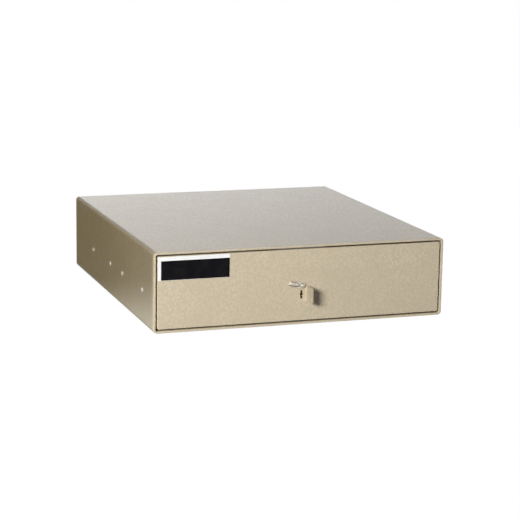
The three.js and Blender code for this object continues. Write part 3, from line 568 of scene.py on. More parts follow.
SLOT_FINISH = {
    "hammer_paint": enamel,
    "tray_paint": powder,
    "zinc_plate": zinc_drawn,
    "nickel": nickel,
    "spring_steel": tempered,
    "brass": brass,
    "rubber": rubber,
}
node_slot = {row["node"]: row["material_slot"] for row in frame["record"]["subparts"]}
node_body = {name: body for body, held in frame["record"]["behaviour"]["bodies"].items() for name in held}
for name, piece in nodes.items():
    piece.data.materials.clear()
    piece.data.materials.append(SLOT_FINISH[node_slot[name]])

# Shape helpers

SMOOTH_ANGLE = math.radians(32)
FLAT_ANGLE = math.radians(0.5)
MERGE_REACH = 0.002 * MM
HAIR = 0.001 * MM
NEARLY_ALONG = 0.9
NEARLY_FACING = 0.99


def new_piece(name, shape, material, body, replaced=()):
    """Ends a bmesh as a piece of the object, at the origin, riding on its body."""
    for face in shape.faces:
        face.smooth = True
    mesh = end_mesh(name, shape)
    mesh.materials.append(material)
    mesh.set_sharp_from_angle(angle=SMOOTH_ANGLE)
    piece = add_object(name, mesh)
    even = piece.modifiers.new("even_normals", "WEIGHTED_NORMAL")
    even.keep_sharp = True
    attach(piece, body)
    if replaced:
        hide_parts(*replaced)
    return piece


def stands_for(name, node, shape, material=None):
    """A piece that takes one node's place, on its body and in its material slot."""
    slot = node_slot[node]
    return new_piece(name, shape, material or SLOT_FINISH[slot], node_body[node], [node])


def node_corners(node):
    """Lowest and highest corner of a node's box."""
    low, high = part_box(node)
    return Vector(low), Vector(high)


def only_verts(parts):
    return [part for part in parts if isinstance(part, bmesh.types.BMVert)]


def edges_along(shape, axis):
    """Edges that run along an axis, given by its number."""
    runs = {edge: (edge.verts[0].co - edge.verts[1].co).normalized() for edge in shape.edges}
    return [edge for edge, run in runs.items() if abs(run[axis]) > NEARLY_ALONG]


def merged_copy(node):
    """A node's own shape with its loose triangles merged into plane faces."""
    shape = bmesh.new()
    shape.from_mesh(nodes[node].data)
    bmesh.ops.remove_doubles(shape, verts=shape.verts, dist=MERGE_REACH)
    bmesh.ops.dissolve_limit(shape, angle_limit=FLAT_ANGLE, verts=shape.verts, edges=shape.edges)
    return shape


def bevel_edges(shape, edges, width, segments, clamp=False):
    bmesh.ops.bevel(
        shape,
        geom=edges,
        offset=width,
        offset_type="OFFSET",
        affect="EDGES",
        segments=segments,
        profile=0.5,
        material=-1,
        clamp_overlap=clamp,
    )


def round_edges(shape, width, segments=2, sharpest=35):
    """Rounds every edge that turns by more than the sharpest angle, in degrees."""
    sharp = [
        edge
        for edge in shape.edges
        if len(edge.link_faces) == 2 and edge.calc_face_angle() > math.radians(sharpest)
    ]
    bevel_edges(shape, sharp, width, segments, clamp=True)
    return shape


def join_shapes(shapes):
    whole = bmesh.new()
    for shape in shapes:
        part = end_mesh("part", shape)
        whole.from_mesh(part)
        bpy.data.meshes.remove(part)
    return whole


def cut_shape(shape, tool):
    """Cuts one closed shape, or several that don't touch, out of another."""
    body = add_object("cut_body", end_mesh("cut_body", shape))
    cutter = add_object("cut_tool", end_mesh("cut_tool", tool))
    cutting = body.modifiers.new("cut", "BOOLEAN")
    cutting.operation = "DIFFERENCE"
    cutting.solver = "EXACT"
    cutting.object = cutter
    result = bmesh.new()
    result.from_object(body, bpy.context.evaluated_depsgraph_get())
    for made in (body, cutter):
        mesh = made.data
        bpy.data.objects.remove(made)
        bpy.data.meshes.remove(mesh)
    return result


def turned_shape(outline, steps=32):
    """Turns an outline of radius and height points about Z into a closed shape."""
    shape = bmesh.new()
    corners = [shape.verts.new((radius, 0, height)) for radius, height in outline]
    edges = [shape.edges.new(pair) for pair in zip(corners, corners[1:])]
    bmesh.ops.spin(
        shape,
        geom=corners + edges,
        cent=(0, 0, 0),
        axis=(0, 0, 1),
        dvec=(0, 0, 0),
        angle=math.tau,
        steps=steps,
        use_merge=True,
        use_duplicate=False,
    )
    bmesh.ops.remove_doubles(shape, verts=shape.verts, dist=HAIR)
    bmesh.ops.recalc_face_normals(shape, faces=shape.faces)
    return shape


def stand_at(shape, direction, place):
    """Turns a shape's Z to a direction and moves its origin to a place."""
    turn = Vector(direction).to_track_quat("Z", "Y").to_matrix().to_4x4()
    bmesh.ops.transform(shape, matrix=Matrix.Translation(place) @ turn, verts=shape.verts)
    return shape


def block_shape(low, high):
    """Block between its lowest and highest corner."""
    low = Vector(low)
    size = Vector(high) - low
    shape = bmesh.new()
    bmesh.ops.create_cube(shape, size=1)
    placed = Matrix.Translation(low + size / 2) @ Matrix.Diagonal((*size, 1))
    bmesh.ops.transform(shape, matrix=placed, verts=shape.verts)
    return shape


def bar_shape(radius, length, segments):
    """Bar of so many sides along Z, with its middle at the origin."""
    shape = bmesh.new()
    bmesh.ops.create_cone(
        shape, cap_ends=True, segments=segments, radius1=radius, radius2=radius, depth=length
    )
    return shape


def dome_outline(radius, height, base, rim_share, steps=8):
    """Outline of a round head from its rim at the base up to its crown on the axis."""
    wall = height * rim_share
    points = [(radius, base), (radius, base + wall)]
    for step in range(1, steps + 1):
        angle = math.pi / 2 * step / steps
        points.append((radius * math.cos(angle), base + wall + (height - wall) * math.sin(angle)))
    points[-1] = (0, base + height)
    return points


THREAD_SHARES = ((1, 0), (0, 0.35), (0, 0.5), (1, 0.85))


def thread_outline(radius, depth, pitch, low, high):
    """Outline of thread turns from a low to a high place on a shank, by shares of depth and pitch."""
    points = []
    for turn in range(int((high - low) / pitch)):
        start = low + turn * pitch
        points += [(radius - depth * sunk, start + pitch * along) for sunk, along in THREAD_SHARES]
    return points


# Sheet and plate pieces: each keeps its node's shape and gets its real edges

LEVER_COUNT = 6
LEVER_EDGE = 0.12 * MM
# Piece, node, width of its rounded edges in mm, their segments, sharpest angle left as it is, finish
EDGED_PIECES = (
    ("casing_shell", "casing_sleeve", 0.18, 2, 35, enamel),
    ("casing_back", "rear_panel", 0.5, 3, 60, enamel),
    ("keep_angle", "bolt_keep", 0.5, 2, 60, zinc_cast),
    ("drawer_face", "drawer_front", 0.18, 2, 35, enamel),
    ("pull_tab", "finger_pull", 0.75, 4, 60, shaded_enamel),
    ("tray_trough", "drawer_tray", 0.2, 2, 60, powder),
    ("tray_front_plate", "tray_front_wall", 0.25, 2, 60, powder),
    ("tray_rear_plate", "tray_rear_wall", 0.25, 2, 60, powder),
    ("left_buffer", "left_slide_buffer", 1.0, 3, 60, rubber),
    ("right_buffer", "right_slide_buffer", 1.0, 3, 60, rubber),
    ("lock_body", "lock_case", 0.3, 2, 60, zinc_cast),
    ("lock_cover_plate", "lock_cap", 0.3, 2, 60, zinc_turned),
    ("bolt_block", "lock_bolt", 0.12, 2, 60, brass),
    ("drum_turned", "key_drum", 0.2, 2, 60, brass),
    ("post_turned", "lever_post", 0.3, 2, 60, tempered),
    ("spring_comb", "lever_springs", 0.08, 1, 60, tempered),
)

for name, node, width, segments, sharpest, material in EDGED_PIECES:
    stands_for(name, node, round_edges(merged_copy(node), width * MM, segments, sharpest), material)

for index in range(1, LEVER_COUNT + 1):
    lever = f"lever_{index}"
    stands_for(f"lever_plate_{index}", lever, round_edges(merged_copy(lever), LEVER_EDGE))

# Slide members: rolled channels with the holes and stops that are pressed into them

SIDES = ("left", "right")
SLIDE_WALL = 1.2 * MM
MEMBER_EDGE = 0.2 * MM
PLATE_SHARPEST = 60
HOLE_REACH = 4 * MM
HOLE_SIDES = 24
SLOT_END_SEGMENTS = 8
SLOT_END_SHARE = 0.98
# Each hole's place as a share of its member's length, its radius, and its length where it is a slot
MEMBER_HOLES = {
    "outer": (
        (0.07, 2.4 * MM, 9 * MM),
        (0.2, 2.3 * MM, 0),
        (0.44, 2.4 * MM, 14 * MM),
        (0.62, 2.4 * MM, 9 * MM),
        (0.86, 2.3 * MM, 0),
    ),
    "middle": (
        (0.05, 3.2 * MM, 0),
        (0.3, 3.2 * MM, 0),
        (0.7, 3.2 * MM, 0),
        (0.5, 3.4 * MM, 26 * MM),
        (0.93, 2.2 * MM, 12 * MM),
    ),
    "drawer": (
        (0.05, 2.1 * MM, 8 * MM),
        (0.3, 2.1 * MM, 8 * MM),
        (0.7, 2.1 * MM, 8 * MM),
        (0.43, 2 * MM, 0),
        (0.57, 2 * MM, 0),
    ),
}


def round_hole(radius, place):
    """Tool for a round hole through a web."""
    return stand_at(bar_shape(radius, 2 * HOLE_REACH, HOLE_SIDES), (1, 0, 0), place)


def long_hole(radius, length, place):
    """Tool for a slot with round ends, along the member."""
    shape = block_shape((-HOLE_REACH, -length / 2, -radius), (HOLE_REACH, length / 2, radius))
    bevel_edges(shape, edges_along(shape, 0), radius * SLOT_END_SHARE, SLOT_END_SEGMENTS)
    bmesh.ops.translate(shape, vec=place, verts=shape.verts)
    return shape


def slide_member(side, kind):
    """A member with its holes. Its web is its outer wall, or the drawer member's inner one."""
    node = f"{side}_slide_{kind}_member"
    low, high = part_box(node)
    sign = 1 if low[0] > 0 else -1
    outward = -sign if kind == "drawer" else sign
    web = (high[0] if outward > 0 else low[0]) - outward * SLIDE_WALL / 2
    length = high[1] - low[1]
    middle = (low[2] + high[2]) / 2
    tools = []
    for share, radius, slot in MEMBER_HOLES[kind]:
        place = (web, low[1] + length * share, middle)
        tools.append(long_hole(radius, slot, place) if slot else round_hole(radius, place))
    cut = cut_shape(merged_copy(node), join_shapes(tools))
    stands_for(f"{side}_{kind}_channel", node, round_edges(cut, MEMBER_EDGE, 2, PLATE_SHARPEST))


BALL_RADIUS = 2.25 * MM
BALL_PROUD_SHARE = 1.004
BALLS_PER_ROW = 6
BALL_SEGMENTS = 20
BALL_RINGS = 12


def slide_balls(side, row_name):
    """Steel balls in their cage, in two rows, a hair larger than the cage's own."""
    node = f"{side}_{row_name}_ball_cage"
    low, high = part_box(node)
    x = high[0] - BALL_RADIUS if side == "left" else low[0] + BALL_RADIUS
    pitch = (high[1] - low[1]) / BALLS_PER_ROW
    shape = bmesh.new()
    for z in (low[2] + BALL_RADIUS, high[2] - BALL_RADIUS):
        for index in range(BALLS_PER_ROW):
            bmesh.ops.create_uvsphere(
                shape,
                u_segments=BALL_SEGMENTS,
                v_segments=BALL_RINGS,
                radius=BALL_RADIUS * BALL_PROUD_SHARE,
                matrix=Matrix.Translation((x, low[1] + pitch * (index + 0.5), z)),
            )
    new_piece(f"{side}_{row_name}_balls", shape, balls_finish, node_body[node])


for side in SIDES:
    for kind in MEMBER_HOLES:
        slide_member(side, kind)
    slide_balls(side, "outer")
    slide_balls(side, "inner")

# Fasteners

SLIDE_RIVET = {
    "head_radius": 3.1 * MM,
    "head_height": 1.4 * MM,
    "head_rim_share": 0.12,
    "shank_radius": 2 * MM,
    "tail_radius": 2.8 * MM,
    "tail_height": 1.3 * MM,
    "tail_shares": ((0.55, 0.06), (0.86, 0.3), (1, 0.66), (0.97, 1)),
}


def node_axis(node, axis):
    """Lowest and highest place of a turned piece on its axis, and its centre."""
    low, high = node_corners(node)
    return low[axis], high[axis], (low + high) / 2


def rivet_shape(
    length, head_radius, head_height, head_rim_share, shank_radius, tail_radius, tail_height, tail_shares
):
    """Rivet along Z, from the middle of its set tail to the crown of its round head."""
    neck = length - head_height
    outline = [(0, 0)]
    outline += [(tail_radius * across, tail_height * along) for across, along in tail_shares]
    outline += [(shank_radius, tail_height), (shank_radius, neck)]
    outline += dome_outline(head_radius, head_height, neck, head_rim_share)
    return turned_shape(outline)


def slide_rivet(side, index):
    """Round-headed rivet whose head shows on the casing's side and whose tail is set inside."""
    node = f"{side}_slide_rivet_{index}"
    low, high, middle = node_axis(node, 0)
    sign = -1 if side == "left" else 1
    start = high if side == "left" else low
    shape = stand_at(rivet_shape(high - low, **SLIDE_RIVET), (sign, 0, 0), (start, middle.y, middle.z))
    stands_for(f"{side}_rivet_{index}", node, shape, aluminium)


SCREW_STEPS = 28
SCREW_TIP_SHARE = 0.7
SCREW_RIM_SHARE = 0.4
THREAD_START = 0.3 * MM
THREAD_PITCH = 0.7 * MM
THREAD_DEPTH_SHARE = 0.14
RECESS_BREADTH = 0.8 * MM
RECESS_DEPTH_SHARE = 0.55
SLIDE_SCREW = {
    "head_radius": 3.2 * MM,
    "head_height": 1.8 * MM,
    "shank_radius": 1.8 * MM,
    "bare": 0.6 * MM,
    "recess": 3.6 * MM,
}
LOCK_SCREW = {
    "head_radius": 3.6 * MM,
    "head_height": 2.6 * MM,
    "shank_radius": 2 * MM,
    "bare": 12 * MM,
    "recess": 4.2 * MM,
}


def cross_recess(width, depth, top):
    """Two bars that cross, one after the other, as the tools of a cross recess."""
    bars = ((width / 2, RECESS_BREADTH / 2), (RECESS_BREADTH / 2, width / 2))
    return [block_shape((-x, -y, top - depth), (x, y, top + depth)) for x, y in bars]


def screw_shape(length, head_radius, head_height, shank_radius, bare, recess):
    """Pan-headed screw along Z: its tip at zero, thread turns, a bare neck and a crossed head."""
    base = length - head_height
    depth = shank_radius * THREAD_DEPTH_SHARE
    outline = [(0, 0), (shank_radius * SCREW_TIP_SHARE, 0)]
    outline += thread_outline(shank_radius, depth, THREAD_PITCH, THREAD_START, base - bare)
    outline += [(shank_radius, base - bare), (shank_radius, base)]
    outline += dome_outline(head_radius, head_height, base, SCREW_RIM_SHARE)
    shape = turned_shape(outline, SCREW_STEPS)
    for tool in cross_recess(recess, head_height * RECESS_DEPTH_SHARE, length):
        shape = cut_shape(shape, tool)
    return shape


def slide_screws():
    """Screws from the tray's sides into the slides' drawer members, three a side."""
    low, high, middle = node_axis("left_slide_screw_1", 0)
    pattern = screw_shape(high - low, **SLIDE_SCREW)
    for side in SIDES:
        sign = -1 if side == "left" else 1
        for index in (1, 2, 3):
            node = f"{side}_slide_screw_{index}"
            low, high, middle = node_axis(node, 0)
            tip = high if side == "left" else low
            shape = stand_at(pattern.copy(), (sign, 0, 0), (tip, middle.y, middle.z))
            stands_for(f"{side}_screw_{index}", node, shape, zinc_turned)


def lock_screws():
    """Long screws through the lock's cap and case into the drawer's front."""
    low, high, middle = node_axis("lock_screw_1", 1)
    pattern = screw_shape(high - low, **LOCK_SCREW)
    for index in (1, 2, 3, 4):
        node = f"lock_screw_{index}"
        low, high, middle = node_axis(node, 1)
        shape = stand_at(pattern.copy(), (0, 1, 0), (middle.x, low, middle.z))
        stands_for(f"lock_fixing_{index}", node, shape, zinc_turned)


NUT_CHAMFER = math.radians(30)
NUT_CHAMFER_CUTS = 12
NUT_FACE_SHARE = 0.48
NUT_BORE_RIM_SHARE = 0.12
NUT_BORE_DEPTH_SHARE = 0.14
STUD_RADIUS = 2.5 * MM
STUD_REACH = 1.5 * MM
STUD_ROOT = 0.9 * MM
STUD_TIP_SHARE = 1.03
STUD_TIP_RADIUS_SHARE = 0.8
STUD_FIT_SHARE = 1.02
STUD_PITCH = 0.6 * MM
STUD_THREAD_DEPTH = 0.25 * MM


def hexagon_nut(flats, height):
    """Nut along Z with turned corners and a countersunk bore."""
    shape = bar_shape(flats / math.sqrt(3), height, segments=6)
    for up in (Vector((0, 0, -1)), Vector((0, 0, 1))):
        for step in range(NUT_CHAMFER_CUTS):
            angle = math.tau * step / NUT_CHAMFER_CUTS
            outward = Vector((math.cos(angle), math.sin(angle), 0))
            cut = bmesh.ops.bisect_plane(
                shape,
                geom=shape.verts[:] + shape.edges[:] + shape.faces[:],
                plane_co=outward * flats * NUT_FACE_SHARE + up * height / 2,
                plane_no=outward * math.sin(NUT_CHAMFER) + up * math.cos(NUT_CHAMFER),
                clear_outer=True,
            )
            rim = [edge for edge in cut["geom_cut"] if isinstance(edge, bmesh.types.BMEdge)]
            bmesh.ops.holes_fill(shape, edges=rim, sides=0)
    ends = [face for face in shape.faces if abs(face.normal.z) > NEARLY_FACING]
    bore_rim = STUD_RADIUS * NUT_BORE_RIM_SHARE
    face_width = flats * NUT_FACE_SHARE - STUD_RADIUS - bore_rim
    bmesh.ops.inset_individual(shape, faces=ends, thickness=face_width, depth=0)
    bmesh.ops.inset_individual(
        shape, faces=ends, thickness=bore_rim, depth=-STUD_RADIUS * NUT_BORE_DEPTH_SHARE
    )
    bmesh.ops.recalc_face_normals(shape, faces=shape.faces)
    return shape


def stud_end():
    """End of a stud along Z that stands out of its nut, whose face is at zero."""
    tip = STUD_REACH * STUD_TIP_SHARE
    threads = thread_outline(
        STUD_RADIUS * STUD_FIT_SHARE, STUD_THREAD_DEPTH, STUD_PITCH, -STUD_ROOT, STUD_REACH
    )
    outline = [(0, tip), (STUD_RADIUS * STUD_TIP_RADIUS_SHARE, tip), *reversed(threads), (0, -STUD_ROOT)]
    return turned_shape(outline, SCREW_STEPS)


def front_nuts():
    """Nuts that hold the tray to the drawer's front, and the ends of their studs."""
    low, high = node_corners("front_nut_1")
    pattern = hexagon_nut(min(high.x - low.x, high.z - low.z), high.y - low.y)
    ends = []
    for index in (1, 2, 3, 4):
        node = f"front_nut_{index}"
        low, high, middle = node_axis(node, 1)
        stands_for(f"stud_nut_{index}", node, stand_at(pattern.copy(), (0, 1, 0), middle), zinc_turned)
        ends.append(stand_at(stud_end(), (0, 1, 0), (middle.x, high, middle.z)))
    new_piece("stud_ends", join_shapes(ends), zinc_turned, "drawer")


for side in SIDES:
    for index in (1, 2, 3, 4):
        slide_rivet(side, index)
slide_screws()
lock_screws()
front_nuts()

# Keyhole cover, its spring washer and its rivet

COVER_RIVET = {
    "head_radius": 2.7 * MM,
    "head_height": 1.3 * MM,
    "head_rim_share": 0.15,
    "shank_radius": 1.5 * MM,
    "tail_radius": 2.7 * MM,
    "tail_height": 1.5 * MM,
    "tail_shares": ((0.6, 0.1), (0.95, 0.55), (1, 1)),
}
COVER_ANGLE = math.radians(168)
COVER_HEAD_RADIUS = 4.5 * MM
COVER_LOBE_RADIUS = 3.8 * MM
COVER_SHEET = 1.2 * MM
COVER_EDGE = 0.3 * MM
COVER_HOLE_RADIUS = 1.6 * MM
COVER_HOLE_SIDES = 32
COVER_END_SEGMENTS = 40
WASHER_EDGE = 0.08 * MM
BULGE_START = 7.2 * MM
BULGE_START_RADIUS = 3.0 * MM
BULGE_RIM = 0.3 * MM
BULGE_ROOT = 0.3 * MM
BULGE_RISE = 1.4 * MM
BULGE_FLANK = 2.6 * MM
BULGE_STEPS = 8
BULGE_ARC_STEPS = 24


def link_plate(first, first_radius, second, second_radius, back, front):
    """Plate between two round ends, from its back to its front."""
    shape = bmesh.new()
    for place, radius in ((first, first_radius), (second, second_radius)):
        turn = Matrix.Translation((place.x, back, place.z)) @ Matrix.Rotation(math.pi / 2, 4, "X")
        bmesh.ops.create_circle(shape, segments=COVER_END_SEGMENTS, radius=radius, matrix=turn)
    outline = bmesh.ops.convex_hull(shape, input=shape.verts)
    bmesh.ops.delete(shape, geom=only_verts(outline["geom_interior"]), context="VERTS")
    bmesh.ops.dissolve_limit(shape, angle_limit=math.radians(1), verts=shape.verts, edges=shape.edges)
    raised = bmesh.ops.extrude_face_region(shape, geom=shape.faces[:])["geom"]
    bmesh.ops.translate(shape, vec=(0, front - back, 0), verts=only_verts(raised))
    bmesh.ops.recalc_face_normals(shape, faces=shape.faces)
    return shape


def pressed_bulge(first, first_radius, second, second_radius, rings):
    """Closed bulge between two round ends, from rings of inset and y."""
    along = (second - first).normalized()
    across = Vector((-along.z, 0, along.x))
    lean = math.acos((first_radius - second_radius) / (second - first).length)
    arcs = ((second, second_radius, -lean, lean), (first, first_radius, lean, math.tau - lean))
    shape = bmesh.new()
    loops = []
    for inset, y in rings:
        loop = []
        for centre, radius, start, end in arcs:
            for step in range(BULGE_ARC_STEPS + 1):
                angle = start + (end - start) * step / BULGE_ARC_STEPS
                place = centre + (along * math.cos(angle) + across * math.sin(angle)) * (radius - inset)
                loop.append(shape.verts.new((place.x, y, place.z)))
        loops.append(loop)
    for outer, inner in zip(loops, loops[1:]):
        for index, vert in enumerate(outer):
            shape.faces.new((outer[index - 1], vert, inner[index], inner[index - 1]))
    shape.faces.new(loops[0])
    shape.faces.new(loops[-1])
    bmesh.ops.recalc_face_normals(shape, faces=shape.faces)
    return shape


def bulge_rings(root, front):
    """Rings of inset and y: straight up from the root, then round over to the front."""
    rings = [(0, root)]
    for step in range(BULGE_STEPS + 1):
        angle = math.pi / 2 * step / BULGE_STEPS
        rings.append((BULGE_FLANK * (1 - math.cos(angle)), front + BULGE_FLANK * (1 - math.sin(angle))))
    return rings


def cover_shape(pivot):
    """Cover plate with its rivet hole and the bulge pressed out of its arm."""
    low, high = node_corners("keyhole_cover")
    along = Vector((math.cos(COVER_ANGLE), 0, math.sin(COVER_ANGLE)))
    lobe = pivot + along * ((low.x + COVER_LOBE_RADIUS - pivot.x) / along.x)
    sheet_front = high.y - COVER_SHEET
    plate = link_plate(pivot, COVER_HEAD_RADIUS, lobe, COVER_LOBE_RADIUS, high.y, sheet_front)
    hole = bar_shape(COVER_HOLE_RADIUS, 4 * COVER_SHEET, COVER_HOLE_SIDES)
    stand_at(hole, (0, 1, 0), (pivot.x, high.y, pivot.z))
    plate = round_edges(cut_shape(plate, hole), COVER_EDGE, 3, PLATE_SHARPEST)
    start = pivot + along * BULGE_START
    rings = bulge_rings(high.y - BULGE_ROOT, low.y - BULGE_RISE)
    bulge = pressed_bulge(start, BULGE_START_RADIUS, lobe, COVER_LOBE_RADIUS - BULGE_RIM, rings)
    return join_shapes([plate, bulge])


def cover_pieces():
    low, high, middle = node_axis("cover_rivet", 1)
    stands_for("cover_plate", "keyhole_cover", cover_shape(middle))
    rivet = stand_at(rivet_shape(high - low, **COVER_RIVET), (0, -1, 0), (middle.x, high, middle.z))
    stands_for("cover_pivot", "cover_rivet", rivet)
    washer = round_edges(merged_copy("cover_spring_washer"), WASHER_EDGE, 2, PLATE_SHARPEST)
    stands_for("cover_washer", "cover_spring_washer", washer, zinc_turned)


cover_pieces()

# Bare label plate at the top left corner of the drawer's front

LABEL_LOW = Vector((-194.3 * MM, 0, 68.6 * MM))
LABEL_HIGH = Vector((-99 * MM, 0, 99.2 * MM))
LABEL_SHEET = 0.4 * MM
LABEL_CORNER = 1 * MM
LABEL_SOFT_EDGE = 0.12 * MM
FIELD_LOW = Vector((-190.5 * MM, 0, 68.9 * MM))
FIELD_HIGH = Vector((-99.3 * MM, 0, 94 * MM))
FIELD_SHEET = 0.12 * MM
FIELD_CORNER = 0.6 * MM
FIELD_SOFT_EDGE = 0.04 * MM
CORNER_SEGMENTS = 6
FRONT_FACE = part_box("drawer_front")[0][1]


def plate_shape(low, high, front, back, corner, soft_edge):
    """Thin plate with round corners and a soft front edge."""
    shape = block_shape((low.x, front, low.z), (high.x, back, high.z))
    bevel_edges(shape, edges_along(shape, 1), corner, CORNER_SEGMENTS)
    rim = [edge for edge in shape.edges if all(abs(vert.co.y - front) < HAIR for vert in edge.verts)]
    bevel_edges(shape, rim, soft_edge, 2)
    return shape


def label():
    """White plate with a bare black field in front of it."""
    front = FRONT_FACE - LABEL_SHEET
    plate = plate_shape(LABEL_LOW, LABEL_HIGH, front, FRONT_FACE, LABEL_CORNER, LABEL_SOFT_EDGE)
    new_piece("label_plate", plate, label_white, "drawer")
    field = plate_shape(FIELD_LOW, FIELD_HIGH, front - FIELD_SHEET, front, FIELD_CORNER, FIELD_SOFT_EDGE)
    new_piece("label_field", field, label_black, "drawer")


label()

# Weld beads under the paint

random.seed(7)
RIPPLE_LENGTH = 0.55 * MM
LEAST_RIPPLES = 6
RIPPLE_RINGS = 3.5
RIPPLE_SHARE = 0.1
RIPPLE_JITTER_SHARE = 0.05
BEAD_GIRTH_SHARE = 0.96
BEAD_END_SHARE = 0.35
BEAD_SIDES = 10
REAR_BEAD_RADIUS = 1.8 * MM
REAR_BEAD_INSET = 6 * MM
KEEP_BEAD_RADIUS = 1.3 * MM
KEEP_BEAD_LENGTH = 16 * MM
PULL_BEAD_RADIUS = 1.0 * MM
PULL_BEAD_INSET = 0.8 * MM


def weld_bead(start, end, radius):
    """Bead of overlapping ripples along a straight seam."""
    start = Vector(start)
    run = Vector(end) - start
    steps = max(LEAST_RIPPLES, round(run.length / RIPPLE_LENGTH))
    shape = bar_shape(radius, run.length, BEAD_SIDES)
    along = [edge for edge in shape.edges if abs(edge.verts[0].co.z - edge.verts[1].co.z) > run.length / 2]
    bmesh.ops.subdivide_edges(shape, edges=along, cuts=steps, use_grid_fill=True)
    swell = {}
    for vert in shape.verts:
        place = vert.co.z / run.length + 0.5
        ring = round(place * (steps + 1))
        if ring not in swell:
            wave = RIPPLE_SHARE * math.sin(ring * math.tau / RIPPLE_RINGS)
            ripple = wave + random.uniform(-RIPPLE_JITTER_SHARE, RIPPLE_JITTER_SHARE)
            taper = min(1, BEAD_END_SHARE + min(place, 1 - place) * run.length / radius)
            swell[ring] = (BEAD_GIRTH_SHARE + ripple) * taper
        vert.co.x *= swell[ring]
        vert.co.y *= swell[ring]
    return stand_at(shape, run, start + run / 2)


def rear_weld():
    """Seam all round the rear panel, inside the casing."""
    low, high = node_corners("rear_panel")
    y = low.y
    left = low.x + REAR_BEAD_INSET
    right = high.x - REAR_BEAD_INSET
    bottom = low.z + REAR_BEAD_INSET
    top = high.z - REAR_BEAD_INSET
    seams = [((left, y, z), (right, y, z)) for z in (low.z, high.z)]
    seams += [((x, y, bottom), (x, y, top)) for x in (low.x, high.x)]
    beads = [weld_bead(start, end, REAR_BEAD_RADIUS) for start, end in seams]
    new_piece("rear_seam_weld", join_shapes(beads), enamel, "casing")


def keep_welds():
    """Short beads at the ends of the keep, where it meets the casing's roof."""
    low, high = node_corners("bolt_keep")
    beads = []
    for y in (low.y, high.y):
        for x in (low.x, high.x - KEEP_BEAD_LENGTH):
            beads.append(weld_bead((x, y, high.z), (x + KEEP_BEAD_LENGTH, y, high.z), KEEP_BEAD_RADIUS))
    new_piece("keep_weld", join_shapes(beads), zinc_cast, "casing")


def pull_welds():
    """Fillets on both sides of the pull, where it meets the drawer's front."""
    low, high = node_corners("finger_pull")
    bottom = low.z + PULL_BEAD_INSET
    top = high.z - PULL_BEAD_INSET
    seams = [((x, FRONT_FACE, bottom), (x, FRONT_FACE, top)) for x in (low.x, high.x)]
    beads = [weld_bead(start, end, PULL_BEAD_RADIUS) for start, end in seams]
    new_piece("pull_weld", join_shapes(beads), enamel, "drawer")


rear_weld()
keep_welds()
pull_welds()

# Stage and light

WHITE = (1, 1, 1, 1)
FLOOR_REACH = 30
FLOOR_DROP = 0.3 * MM
FLOOR_TONE = 0.25
FLOOR_ROUGHNESS = 0.9
FLOOR_GLOW = 1.06
FLOOR_SHEEN = 0.4
FLOOR_GLOW_SHARE = 0.94


def make_floor():
    """Floor that glows white to the camera, dimly to gloss, and keeps a little of the shadow."""
    shape = bmesh.new()
    bmesh.ops.create_grid(shape, x_segments=1, y_segments=1, size=FLOOR_REACH)
    mesh = end_mesh("floor", shape)
    mesh.transform(Matrix.Translation((0, 0, -FLOOR_DROP)))
    floor = add_object("floor", mesh)
    material = bpy.data.materials.new("white_floor")
    material.use_nodes = True
    tree = material.node_tree
    surface = tree.nodes["Principled BSDF"]
    surface.inputs["Base Color"].default_value = (FLOOR_TONE, FLOOR_TONE, FLOOR_TONE, 1)
    surface.inputs["Roughness"].default_value = FLOOR_ROUGHNESS
    surface.inputs["Specular IOR Level"].default_value = 0.0
    path = tree.nodes.new("ShaderNodeLightPath")
    seen = maths(tree, "MAXIMUM", path.outputs["Is Camera Ray"], path.outputs["Is Glossy Ray"])
    level = remap(tree, path.outputs["Is Camera Ray"], WHOLE, (FLOOR_SHEEN, FLOOR_GLOW), smooth=False)
    glow = add_node(tree, "ShaderNodeEmission", {"Color": WHITE, "Strength": level})
    mixed = add_node(tree, "ShaderNodeMixShader", {0: maths(tree, "MULTIPLY", seen, FLOOR_GLOW_SHARE)})
    tree.links.new(surface.outputs[0], mixed.inputs[1])
    tree.links.new(glow.outputs[0], mixed.inputs[2])
    tree.links.new(mixed.outputs[0], tree.nodes["Material Output"].inputs["Surface"])
    mesh.materials.append(material)


WORLD_LEVEL = 0.07
SKY_LEVELS = (2.12, 0.0)
SKY_HEIGHTS = (0.1, 0.28)
SKY_SIDES = (0.16, 0.44)
SKY_SIDE_LEVELS = (1.12, 0.74)


def make_world():
    """White to the camera. Gloss sees a bright horizon, brighter to the left, under a dark ceiling."""
    world = bpy.data.worlds.new("studio")
    bpy.context.scene.world = world
    world.use_nodes = True
    tree = world.node_tree
    background = tree.nodes["Background"]
    path = tree.nodes.new("ShaderNodeLightPath")
    seen = maths(tree, "MAXIMUM", path.outputs["Is Camera Ray"], path.outputs["Is Transmission Ray"])
    sky = tree.nodes.new("ShaderNodeTexCoord").outputs["Generated"]
    direction = add_node(tree, "ShaderNodeSeparateXYZ", {0: sky})
    ceiling = remap(tree, direction.outputs["Z"], SKY_HEIGHTS, SKY_LEVELS)
    side = remap(tree, direction.outputs["X"], SKY_SIDES, SKY_SIDE_LEVELS)
    glossy = maths(tree, "MULTIPLY", path.outputs["Is Glossy Ray"], maths(tree, "MULTIPLY", ceiling, side))
    plain = maths(tree, "SUBTRACT", 1.0, maths(tree, "MAXIMUM", seen, path.outputs["Is Glossy Ray"]))
    lit = maths(tree, "ADD", glossy, maths(tree, "MULTIPLY", plain, WORLD_LEVEL))
    tree.links.new(maths(tree, "MAXIMUM", seen, lit), background.inputs["Strength"])
    background.inputs["Color"].default_value = WHITE


